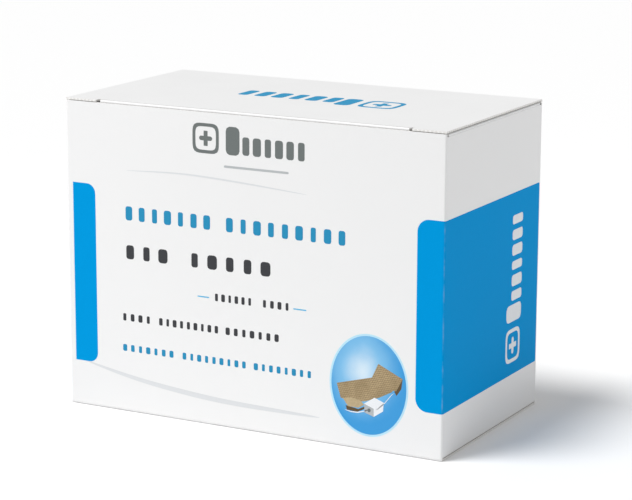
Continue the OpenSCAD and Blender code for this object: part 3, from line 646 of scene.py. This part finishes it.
def lathe(profile, at, axis, n=28):
    """A turned solid: profile is a list of (distance along the axis, radius), closed on itself."""
    a = np.array(axis, float)
    side = np.cross(a, (0, 0, 1) if abs(a[2]) < 0.9 else (1, 0, 0))
    side /= np.linalg.norm(side)
    other = np.cross(a, side)
    verts, m = [], len(profile)
    for k in range(n):
        w = 2 * math.pi * k / n
        d = side * math.cos(w) + other * math.sin(w)
        verts += [tuple(np.array(at) + a * s + d * r) for s, r in profile]
    return verts, loop_faces(n, m)


def ease(t):
    t = min(max(t, 0.0), 1.0)
    return t * t * (3 - 2 * t)


def wobble(x, y, z, scale=1.0):
    return noise.noise(Vector((x * scale, y * scale, z * scale)))


# Mattress: one long bubble pad, folded to and fro into nine plies that line the floor and the left end
(PAD_X0, PAD_Y0, PAD_Z0), (PAD_X1, PAD_Y1, PAD_Z1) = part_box("air_mattress")
PLIES = 9
TRAY_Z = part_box("pump_tray")[0][2]
PAD_THICK = TRAY_Z - 0.0003 - PAD_Z0
PITCH = PAD_THICK / PLIES


def ply_path(i):
    """Middle line of ply i, counted from the outside: from the right end, round the corner, to the top."""
    d = (i + 0.5) * PITCH
    x, z = PAD_X0 + d, PAD_Z0 + d
    r = 0.006 + 0.35 * (PAD_THICK - d)
    short = 0.0045 * (0.5 + 0.5 * math.sin(2.1 * (i // 2 * 2) + 0.7))
    lead = 0.0045 * (0.5 + 0.5 * math.sin(1.7 * ((i + 1) // 2 * 2) + 0.2))
    right = PAD_X1 - PITCH - lead
    top = PAD_Z1 - PITCH - short
    pts = [(s, z) for s in np.linspace(right, x + r, 70)[:-1]]
    pts += [(x + r - r * math.sin(a), z + r - r * math.cos(a)) for a in np.linspace(0, math.pi / 2, 14)]
    return pts + [(x, s) for s in np.linspace(z + r, top, 34)[1:]]


def pad_path():
    line = []
    for i in range(PLIES):
        ply = ply_path(i)
        if i % 2:
            ply.reverse()
        if line:
            (x0, z0), (x1, z1) = line[-1], ply[0]
            cx, cz, r = (x0 + x1) / 2, (z0 + z1) / 2, math.hypot(x1 - x0, z1 - z0) / 2
            at_top = i % 2 == 1
            for a in np.linspace(0, math.pi, 9)[1:-1]:
                line.append((cx - r * math.cos(a), cz + r * math.sin(a)) if at_top
                            else (cx + r * math.sin(a), cz - r * math.cos(a)))
        line += ply
    return line


def bubble_pad():
    """Welded diamond cells over both faces, and two puckered edges with a welded rim between them."""
    line = pad_path()
    run = np.concatenate([[0], np.cumsum([math.dist(a, b) for a, b in zip(line, line[1:])])])
    half_t = (PITCH - 0.0004) / 2
    ys = np.linspace(PAD_Y0 + 0.004, PAD_Y1 - 0.004, 36)
    mid = (PAD_Y0 + PAD_Y1) / 2

    def cell(s, y):
        a, b = s / 0.052, (y - mid) / 0.041
        ridge = min(abs(math.sin(math.pi * (a + b) / 2)), abs(math.sin(math.pi * (a - b) / 2)))
        return ease(ridge / 0.42)

    def rim(y, end, side):
        """One edge: the two faces close up to a thin welded rim."""
        return [(at - side * inset, side * half_t * k)
                for at, inset, k in ((y, 0.0006, 0.42), (y, 0.0026, 0.10), (end, 0.0022, 0.05),
                                     (end, 0.0022, -0.05), (y, 0.0026, -0.10), (y, 0.0006, -0.42))]

    def section(i):
        s = run[i]
        high = [(y, half_t * (0.60 + 0.36 * cell(s, y) + 0.07 * wobble(s, y, 0.1, 90))) for y in ys]
        low = [(y, -half_t * (0.60 + 0.36 * cell(s + 0.013, y) + 0.07 * wobble(s, y, 0.7, 90))) for y in ys]
        pucker = 0.0016 * wobble(s, 0.3, 0.2, 60)
        y1, y0 = PAD_Y1 - 0.0018 + pucker, PAD_Y0 + 0.0018 + pucker
        return [(h, y) for y, h in high + rim(y1, PAD_Y1, 1) + low[::-1] + rim(y0, PAD_Y0, -1)]

    path = [(x, 0.0, z) for x, z in line]
    return sweep(path, section, up=(0, 1, 0))


pad = piece("mattress_pad", *bubble_pad(), M["vinyl"], "carton", "mattress_vinyl", smooth=True)
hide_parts("air_mattress")

# Inlet tubes: out of the top of the pad, then bent back along it, with push-on connectors
IN_LOW, IN_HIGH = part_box("mattress_inlets")
IN_Y0, IN_Z = IN_LOW[1], IN_HIGH[2] - 0.005
tubes, ends, collars = [], [], []
for k in (0, 1):
    x = PAD_X0 + 0.038 + 0.020 * k
    y = IN_Y0 + 0.0036 + 0.022 * k
    z0 = PAD_Z1 - 0.006
    bend = 0.0058
    path = [(x, y, z) for z in np.linspace(z0, IN_Z - bend, 6)[:-1]]
    path += [(x, y + bend * (1 - math.cos(a)), IN_Z - bend + bend * math.sin(a))
             for a in np.linspace(0, math.pi / 2, 9)]
    path += [(x + 0.0012 * math.sin(math.pi * t), y + bend + (0.030 - bend) * t, IN_Z)
             for t in np.linspace(0.05, 1, 12)]
    tubes.append(sweep(path, circle(0.0035, 18), up=(1, 0, 0)))
    collars.append(lathe([(0, 0.0036), (0, 0.0085), (0.0007, 0.009), (0.0014, 0.0085), (0.0019, 0.0052),
                          (0.0042, 0.0044), (0.0042, 0.0036)], (x, y, PAD_Z1 - 0.0042), (0, 0, 1)))
    rings = [(0.0, 0.0024), (0.0, 0.0043), (0.0006, 0.0049)]
    for j in range(5):
        s = 0.0022 + 0.0022 * j
        rings += [(s, 0.0049), (s + 0.0004, 0.0044), (s + 0.0010, 0.0044), (s + 0.0014, 0.0049)]
    rings += [(0.0152, 0.0047), (0.016, 0.0040), (0.016, 0.0024), (0.012, 0.0020), (0.003, 0.0020)]
    ends.append(lathe(rings, (x, y + 0.032, IN_Z), (0, 1, 0)))
inlet = piece("mattress_inlet_tubes", *join(tubes), M["tube"], "carton", "clear_tube", smooth=True)
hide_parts("mattress_inlets")
piece("mattress_inlet_collars", *join(collars), M["vinyl"], "carton", "mattress_vinyl")
piece("mattress_inlet_plugs", *join(ends), M["natural"], "carton", "natural_plastic")


# Booklet: folded sheets, one inside the next, with two staples in the fold
(BK_X0, BK_Y0, BK_Z0), (BK_X1, BK_Y1, BK_Z1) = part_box("instruction_booklet")


def booklet():
    parts = []
    cx, r_max = (BK_X0 + BK_X1) / 2, (BK_X1 - BK_X0) / 2
    for k in range(5):
        r = r_max - 0.00010 - 0.00019 * k
        t = 0.00007
        fore = BK_Y1 - 0.0008 - 0.0005 * k
        zs = np.linspace(BK_Z0 + 0.0003, BK_Z1 - 0.0003, 9)
        mid = [(cx - r, y) for y in np.linspace(fore, BK_Y0 + r_max, 10)]
        mid += [(cx - r * math.cos(a), BK_Y0 + r_max - r * math.sin(a))
                for a in np.linspace(0, math.pi, 9)[1:-1]]
        mid += [(cx + r, y) for y in np.linspace(BK_Y0 + r_max, fore, 10)]
        p, d = centre_path([(x, y, 0) for x, y in mid])
        normal = np.cross(d, (0, 0, 1))
        loop = [tuple(a + n * t) for a, n in zip(p, normal)]
        loop += [tuple(a - n * t) for a, n in zip(p, normal)][::-1]
        m = len(loop)
        verts = [(x, y, z) for z in zs for x, y, _ in loop]
        faces = skin([i * m for i in range(len(zs))], m)
        h = m // 2
        for base in (0, (len(zs) - 1) * m):
            faces += [(base + j, base + j + 1, base + m - 2 - j, base + m - 1 - j) for j in range(h - 1)]
        parts.append((verts, faces))
    return join(parts)


book = piece("booklet_pages", *booklet(), M["paper"], "carton", "paper")
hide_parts("instruction_booklet")
on_book = lambda u, v, lift: (BK_X1 - 0.00003 + lift, u, v)
bars = [rounded(BK_Y0 + 0.012, BK_Y0 + 0.075, BK_Z1 - 0.030, BK_Z1 - 0.024, on_book, 0.0015, 0.0015)]
bars += [rounded(BK_Y0 + 0.012, BK_Y0 + 0.012 + w, BK_Z1 - 0.040 - 0.006 * i, BK_Z1 - 0.0378 - 0.006 * i,
                 on_book, 0.001, 0.001)
         for i, w in enumerate((0.058, 0.050, 0.061, 0.034))]
piece("booklet_print_lines", *join(bars), INK["grey"], "carton", "paper")
title_band = rounded(BK_Y0 + 0.004, BK_Y1 - 0.004, BK_Z0 + 0.012, BK_Z0 + 0.050, on_book, 0.004, 0.004)
piece("booklet_print_band", *title_band, INK["blue"], "carton", "paper")
staples = []
for z in (BK_Z0 + 0.035, BK_Z1 - 0.035):
    x = (BK_X0 + BK_X1) / 2
    half = [(0.0009, 0.006), (0.00012, 0.0056), (0.00005, 0.005)]       # (depth, distance from the middle)
    wire = [(x, BK_Y0 + d, z - h) for d, h in half] + [(x, BK_Y0 + d, z + h) for d, h in half[::-1]]
    staples.append(sweep(wire, circle(0.00022, 8), up=(1, 0, 0)))
piece("booklet_staples", *join(staples), M["steel"], "carton", "steel")


# Air hoses: two turns each, in one flat coil
HOSE_R = 0.0042
(HA_X0, HA_Y0, HA_Z0), (HA_X1, HA_Y1, _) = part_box("air_hose_a")
COIL_R = (HA_Y1 - HA_Y0) / 2 - HOSE_R
COIL_Y = (HA_Y0 + HA_Y1) / 2
LEFT, RIGHT = HA_X0 + COIL_R + HOSE_R, HA_X1 - COIL_R - HOSE_R
HOSE_Z = HA_Z0 + HOSE_R
HOSE_PITCH = 0.0089
HOSE_CUT = 0.024


def hose_path(z):
    """Each turn climbs along its back run; both ends stop short of the left end."""
    pts = []
    for turn in (0, 1):
        low = z + turn * HOSE_PITCH
        start = LEFT + HOSE_CUT * (1 - turn)
        pts += [(x, COIL_Y - COIL_R, low) for x in np.linspace(start, RIGHT, 40)]
        pts += [(RIGHT + COIL_R * math.sin(a), COIL_Y - COIL_R * math.cos(a), low)
                for a in np.linspace(0, math.pi, 17)[1:-1]]
        stop = LEFT + HOSE_CUT * turn
        for x in np.linspace(RIGHT, stop, 40):
            pts.append((x, COIL_Y + COIL_R, low + HOSE_PITCH * ease((RIGHT - x) / (RIGHT - LEFT))))
        if not turn:
            pts += [(LEFT - COIL_R * math.sin(a), COIL_Y + COIL_R * math.cos(a), low + HOSE_PITCH)
                    for a in np.linspace(0, math.pi, 17)[1:-1]]
    return pts


for k, name in enumerate(("air_hose_a", "air_hose_b")):
    o = piece(name + "_tube", *hose(hose_path(HOSE_Z + 2 * k * HOSE_PITCH), HOSE_R, 0.0026),
              M["tube"], "carton", "clear_tube", smooth=True)
    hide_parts(name)

# Push-on hose connectors: a grip with ridges and an open nose
plugs = []
for k in (0, 1):
    z = HOSE_Z + 2 * k * HOSE_PITCH
    for y, level in ((COIL_Y - COIL_R, z), (COIL_Y + COIL_R, z + 1.98 * HOSE_PITCH)):
        r = 0.0044
        rings = [(0.0, 0.0020), (0.0, 0.0030), (0.0024, r * 0.82), (0.0028, r)]
        for j in range(4):
            s = 0.0040 + 0.0019 * j
            rings += [(s, r), (s + 0.0003, r * 0.9), (s + 0.0009, r * 0.9), (s + 0.0012, r)]
        rings += [(0.0118, r), (0.0122, r * 0.95), (0.0122, 0.0025), (0.0165, 0.0025), (0.0165, 0.0020)]
        plugs.append(lathe(rings, (LEFT + HOSE_CUT - 0.0122, y, level), (1, 0, 0)))
o = piece("hose_push_connectors", *join(plugs), M["natural"], "carton", "natural_plastic")
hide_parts("hose_connectors")


def oblong(w, h, r, n=6):
    """Points round a rounded rectangle."""
    return [(sx * (w / 2 - r) + r * math.cos(a + q), sy * (h / 2 - r) + r * math.sin(a + q))
            for q, sx, sy in ((0, 1, 1), (math.pi / 2, -1, 1), (math.pi, -1, -1), (1.5 * math.pi, 1, -1))
            for a in np.linspace(0, math.pi / 2, n)]


def wire_tie(node):
    """A coated wire tie: a flat band round the bundle and its two ends twisted together."""
    (x0, y0, z0), (x1, y1, z1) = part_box(node)
    x, y, z = (x0 + x1) / 2, (y0 + y1) / 2, (z0 + z1) / 2
    t = 0.0005
    w, h = y1 - y0 - t, z1 - z0 - t
    loop = [(x, y + a, z + b) for a, b in oblong(w, h, min(w, h) * 0.32)]
    band = (x1 - x0) * 0.42
    flat = [(-band, -t / 2), (-band, t / 2), (-0.0006, t / 2), (0.0, t * 0.9), (0.0006, t / 2), (band, t / 2),
            (band, -t / 2)]
    parts = [sweep(loop, flat, up=(1, 0, 0), closed=True)]
    top = z1 - t
    for side in (0, 1):
        pts = []
        for i in range(30):
            s = i / 29
            a = 2 * math.pi * 2.6 * s + math.pi * side
            r = 0.0008 + 0.0009 * max(0.0, s - 0.8) * 5
            pts.append((x + r * math.cos(a), y + 0.001 + 0.013 * s, top + 0.0009 + r * math.sin(a)))
        parts.append(sweep(pts, circle(0.0006, 8), up=(0.3, 0.1, 1)))
    return join(parts)


for node, name in (("hose_tie", "hose_wire_tie"), ("cord_tie", "cord_wire_tie")):
    o = piece(name, *wire_tie(node), M["tie"], "carton", "tie_black")
    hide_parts(node)

# Mains cord: one cord wound into six turns, from the pump's grommet to the plug
PC_X0, _, PC_Z0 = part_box("power_cord")[0]
CORD_R = 0.0029
RING_Y = middle("mains_plug")[1]
OUT_R, IN_R = 0.0146, 0.0094
RING_H = 0.048
RING_X = PC_X0 + 0.018 + RING_H
ENTRY = middle("cord_grommet")
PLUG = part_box("mains_plug")
PLUG_Z = middle("mains_plug")[2]


def cord_path():
    z = PC_Z0
    out, inn = OUT_R, IN_R
    levels = [(out, z + 0.0058), (out, z + 0.0120), (out, z + 0.0182), (inn, z + 0.0210), (inn, z + 0.0148),
              (inn, z + 0.0086), (inn, z + 0.0030)]
    pts = [(ENTRY[0], y, ENTRY[2]) for y in np.linspace(ENTRY[1] + 0.004, RING_Y + out + 0.0062, 6)]
    pts += [(ENTRY[0] - 0.006 + 0.006 * math.cos(a), RING_Y + out + 0.006 - 0.006 * math.sin(a), ENTRY[2])
            for a in np.linspace(0, math.pi / 2, 8)[1:]]
    for k in range(6):
        r, h = levels[k]
        r2, h2 = levels[k + 1]
        if k == 0:
            pts += [(x, RING_Y + r, h) for x in np.linspace(ENTRY[0] - 0.0085, RING_X - RING_H, 5)]
        pts += [(RING_X - RING_H - r * math.sin(a), RING_Y + r * math.cos(a), h)
                for a in np.linspace(0, math.pi, 21)[1:-1]]
        begin = (5 - k) * 0.155
        for s in np.linspace(0, 1, 34):
            u = min(max((s - begin) / 0.22, 0.0), 1.0)
            first, second = ease(min(2 * u, 1)), ease(max(2 * u - 1, 0))
            rr = r + (r2 - r) * second
            hh = h + (h2 - h) * (first if r2 != r else ease(u))
            pts.append((RING_X - RING_H + 2 * RING_H * s, RING_Y - rr, hh))
        if k < 5:
            pts += [(RING_X + RING_H + r2 * math.sin(a), RING_Y - r2 * math.cos(a), h2)
                    for a in np.linspace(0, math.pi, 21)[1:-1]]
            pts += [(x, RING_Y + r2, h2) for x in np.linspace(RING_X + RING_H, RING_X - RING_H, 24)]
    x0, x1 = pts[-1][0], PLUG[0][0] + 0.003
    y0, z0 = pts[-1][1], pts[-1][2]
    for s in np.linspace(0, 1, 24)[1:]:
        pts.append((x0 + (x1 - x0) * s, y0 + (RING_Y - y0) * ease(s / 0.9),
                    z0 + (PLUG_Z - z0) * ease((s - 0.45) / 0.5)))
    keep = [pts[0]]
    for p in pts[1:]:
        if math.dist(p, keep[-1]) > 0.0004:
            keep.append(p)
    return keep


o = piece("mains_cord", *sweep(cord_path(), circle(CORD_R, 14)), M["cord"], "carton", "cord_grey",
          smooth=True)
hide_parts("power_cord")


def plug():
    """Moulded two-pin plug: ribbed strain relief running into a flat body with a finger grip."""
    (x0, y0, z0), (x1, y1, z1) = PLUG
    cy, cz = (y0 + y1) / 2, (z0 + z1) / 2
    w, h = (y1 - y0) / 2, (z1 - z0) / 2
    rows = []
    for i in range(5):                                  # ribs
        s = x0 + 0.0015 * i
        groove, ridge = 0.0040 + 0.0002 * i, 0.0046 + 0.0002 * i
        rows += [(s, groove, groove), (s + 0.0008, ridge, ridge), (s + 0.0009, groove, groove)]
    body = [(0.0080, 0.0062, 0.0050), (0.0100, 0.0100, 0.0058), (0.0125, 0.0126, h * 0.96),
            (0.0150, w * 0.985, h), (0.0190, w * 0.94, h * 0.93), (0.0225, w * 0.925, h * 0.90),
            (0.0262, w * 0.95, h * 0.95), (0.0295, w, h), (0.0312, w, h), (0.0318, w * 0.97, h * 0.94)]
    rows += [(x0 + s, a, b) for s, a, b in body] + [(x1, w * 0.90, h * 0.84)]
    n, verts = 40, []
    for s, a, b in rows:
        flat = min(1.0, (a - b) / 0.006)
        e = 1.0 - 0.45 * max(flat, 0)
        for k in range(n):
            t = 2 * math.pi * k / n
            c, d = math.cos(t), math.sin(t)
            verts.append((s, cy + a * math.copysign(abs(c) ** e, c), cz + b * math.copysign(abs(d) ** e, d)))
    m = len(rows)
    faces = skin([i * n for i in range(m)], n)
    return verts, faces + [tuple(range(n)), tuple(range(m * n - 1, (m - 1) * n - 1, -1))]


o = piece("plug_body", *plug(), M["cord"], "carton", "cord_grey", smooth=True)
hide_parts("mains_plug")
(PN_X0, PN_Y0, PN_Z0), (PN_X1, PN_Y1, PN_Z1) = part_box("plug_pins")
PIN = PN_X1 - PN_X0
pin_r = (PN_Z1 - PN_Z0) / 2
bare, sleeves = [], []
for y in (PN_Y0 + pin_r, PN_Y1 - pin_r):
    bare.append(lathe([(0.0095, 0.0), (0.0095, pin_r * 0.93), (PIN - 0.0016, pin_r * 0.93),
                       (PIN - 0.0005, pin_r * 0.7), (PIN, pin_r * 0.3), (PIN, 0.0)],
                      (PN_X0, y, (PN_Z0 + PN_Z1) / 2), (1, 0, 0)))
    sleeves.append(lathe([(0.0, 0.0), (0.0, pin_r), (0.0100, pin_r), (0.0102, pin_r * 0.93), (0.0102, 0.0)],
                         (PN_X0 - 0.0006, y, (PN_Z0 + PN_Z1) / 2), (1, 0, 0)))
o = piece("plug_pin_tips", *join(bare), M["brass"], "carton", "pin_brass")
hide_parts("plug_pins")
piece("plug_pin_sleeves", *join(sleeves), M["cord"], "carton", "cord_grey")


# Repair patches: three thin discs with a slight curl
def patches():
    (x0, y0, z0), (x1, y1, z1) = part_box("repair_patches")
    parts = []
    for k in range(3):
        cx, cy, cz = x0 + 0.020 + 0.009 * k, y0 + 0.020 + 0.003 * k, z0 + 0.0007 * k
        n, rings, t = 40, (0.006, 0.012, 0.017, 0.0192, 0.0198), 0.0003
        verts = []
        for level in (t, 0.0):
            for r in rings:
                for i in range(n):
                    a = 2 * math.pi * i / n
                    lift = 0.00014 * (r / 0.02) ** 2 * (1 + math.sin(2 * a + k))
                    verts.append((cx + r * math.cos(a), cy + r * math.sin(a), cz + level + lift))
        m = len(rings)
        faces = []
        for layer in (0, m * n):
            faces += skin([layer + j * n for j in range(m)], n)
            faces.append(tuple(layer + i for i in range(n)))
        faces += skin([(m - 1) * n, (2 * m - 1) * n], n)
        parts.append((verts, faces))
    return join(parts)


o = piece("mattress_patches", *patches(), M["vinyl"], "carton", "mattress_vinyl", smooth=True)
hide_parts("repair_patches")


# ---------- print on the pump's panel ----------

panel_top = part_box("control_panel")[1][2]
KNOB = middle("pressure_knob")
SWITCH = middle("switch_bezel")
(CP_X0, CP_Y0, _), (CP_X1, CP_Y1, _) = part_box("control_panel")
knob_r = (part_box("pressure_knob")[1][0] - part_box("pressure_knob")[0][0]) / 2


def on_panel(cx, cy, turn=0.0):
    c, s = math.cos(turn), math.sin(turn)
    return lambda u, v, lift: (cx + u * c - v * s, cy + u * s + v * c, panel_top + lift)


scale = []
for i in range(13):                                     # dial marks, longer at the ends and the middle
    a = math.radians(-135 + 22.5 * i)
    at = on_panel(KNOB[0], KNOB[1], -a)
    long = 0.0055 if i % 6 == 0 else 0.0035
    start = knob_r + 0.0022
    scale.append(rounded(-0.0004, 0.0004, start, start + long, at, 0.0003, 0.0003, 0.0002))
minus, plus = (on_panel(KNOB[0] + sx * 0.0225, KNOB[1] - 0.0245) for sx in (-1, 1))
scale.append(rounded(-0.002, 0.002, -0.0004, 0.0004, minus))
scale.append(rounded(-0.002, 0.002, -0.0004, 0.0004, plus))
scale += [rounded(-0.0004, 0.0004, lo, lo + 0.0016, plus) for lo in (0.0004, -0.002)]
on_mark = on_panel(SWITCH[0] + 0.0205, SWITCH[1])
off_mark = on_panel(SWITCH[0] - 0.0215, SWITCH[1])
scale.append(rounded(-0.0004, 0.0004, -0.0024, 0.0024, on_mark))
piece("panel_print_marks", *join(scale), INK["dark"], "carton", "panel_blue")
ring = [off_mark(r * math.cos(a), r * math.sin(a), h) for a in np.linspace(0, 2 * math.pi, 25)[:-1]
        for r, h in ((0.0024, INK_TOP), (0.0017, INK_TOP), (0.0017, INK_BASE), (0.0024, INK_BASE))]
piece("panel_print_off", ring, loop_faces(24, 4), INK["dark"], "carton", "panel_blue")
frame_at = on_panel((CP_X0 + CP_X1) / 2, (CP_Y0 + CP_Y1) / 2)
half_l, half_w = (CP_X1 - CP_X0) / 2, (CP_Y1 - CP_Y0) / 2
edge_a = oblong(2 * half_l - 0.006, 2 * half_w - 0.006, 0.0062, 8)
edge_b = oblong(2 * half_l - 0.0076, 2 * half_w - 0.0076, 0.0054, 8)
trim = [frame_at(u, v, h) for a, b in zip(edge_a, edge_b)
        for (u, v), h in ((a, INK_TOP), (b, INK_TOP), (b, INK_BASE), (a, INK_BASE))]
piece("panel_print_frame", trim, loop_faces(len(edge_a), 4), INK["blue"], "carton", "panel_blue")
title = blocks(CP_X0 + 0.012, CP_X0 + 0.056, CP_Y0 + 0.010, CP_Y0 + 0.016, 8, on_panel(0, 0))
piece("panel_print_title", *join(title), INK["grey"], "carton", "panel_blue")


# ---------- stage, light and camera ----------

def stage():
    """A pale floor, and a world that is white to the camera and dimmer as a light."""
    s, z = 14.0, -0.0002
    floor = bpy.data.meshes.new("stage_floor")
    floor.from_pydata([(-s, -s, z), (s, -s, z), (s, s, z), (-s, s, z)], [], [(0, 1, 2, 3)])
    o = bpy.data.objects.new("stage_floor", floor)
    bpy.context.scene.collection.objects.link(o)
    g = Nodes("stage_paper")
    g.bump(g.noise(180, 3, 0.5), 0.03, 0.0005)
    floor.materials.append(g.set(colour=(0.86, 0.86, 0.86), rough=0.8, spec=0.1, glow=0.05,
                                 glow_colour=(1.0, 1.0, 1.0)))
    world = bpy.data.worlds.new("studio")
    bpy.context.scene.world = world
    world.use_nodes = True
    t = world.node_tree
    t.nodes.clear()
    out = t.nodes.new("ShaderNodeOutputWorld")
    bg = t.nodes.new("ShaderNodeBackground")
    bg.inputs[0].default_value = (1, 1, 1, 1)
    bg.inputs[1].default_value = 0.41
    seen = t.nodes.new("ShaderNodeBackground")
    seen.inputs[0].default_value = (1, 1, 1, 1)
    path = t.nodes.new("ShaderNodeLightPath")
    mix = t.nodes.new("ShaderNodeMixShader")
    t.links.new(path.outputs["Is Camera Ray"], mix.inputs[0])
    t.links.new(bg.outputs[0], mix.inputs[1])
    t.links.new(seen.outputs[0], mix.inputs[2])
    t.links.new(mix.outputs[0], out.inputs[0])


def softbox(name, at, size, power, aim=(0, 0, 0.12)):
    """A square soft light aimed at the carton."""
    light = bpy.data.lights.new(name, "AREA")
    light.shape, light.size, light.energy = "SQUARE", size, power
    o = bpy.data.objects.new(name, light)
    bpy.context.scene.collection.objects.link(o)
    o.location = at
    o.rotation_euler = (Vector(aim) - Vector(at)).to_track_quat("-Z", "Y").to_euler()


stage()
sun = bpy.data.lights.new("sun", "SUN")
sun.energy, sun.angle = 2.4, math.radians(20)
sun_at = bpy.data.objects.new("sun", sun)
scene = bpy.context.scene
scene.collection.objects.link(sun_at)
sun_at.rotation_euler = Vector((0.27, 0.28, -0.92)).to_track_quat("-Z", "Y").to_euler()
softbox("fill_left", (-0.72, -0.62, 0.42), 0.45, 1.0)
softbox("fill_back_right", (0.95, 0.95, 0.42), 0.5, 0.8)

# A long lens to the right of the front and a little above the carton
yaw, pitch, roll = math.radians(28.223), math.radians(12.54), math.radians(0.2)
cam = bpy.data.cameras.new("camera")
camera = bpy.data.objects.new("camera", cam)
bpy.context.scene.collection.objects.link(camera)
cam.sensor_width = 36.0
cam.lens = 134.55
cam.clip_start, cam.clip_end = 0.05, 60
look = Vector((-math.sin(yaw) * math.cos(pitch), math.cos(yaw) * math.cos(pitch), -math.sin(pitch)))
camera.location = (0.90301, -1.66135, 0.55076)
camera.rotation_euler = (look.to_track_quat("-Z", "Y").to_matrix() @ Matrix.Rotation(roll, 3, "Z")).to_euler()
scene.camera = camera
scene.view_settings.view_transform = "Standard"
scene.view_settings.look = "None"
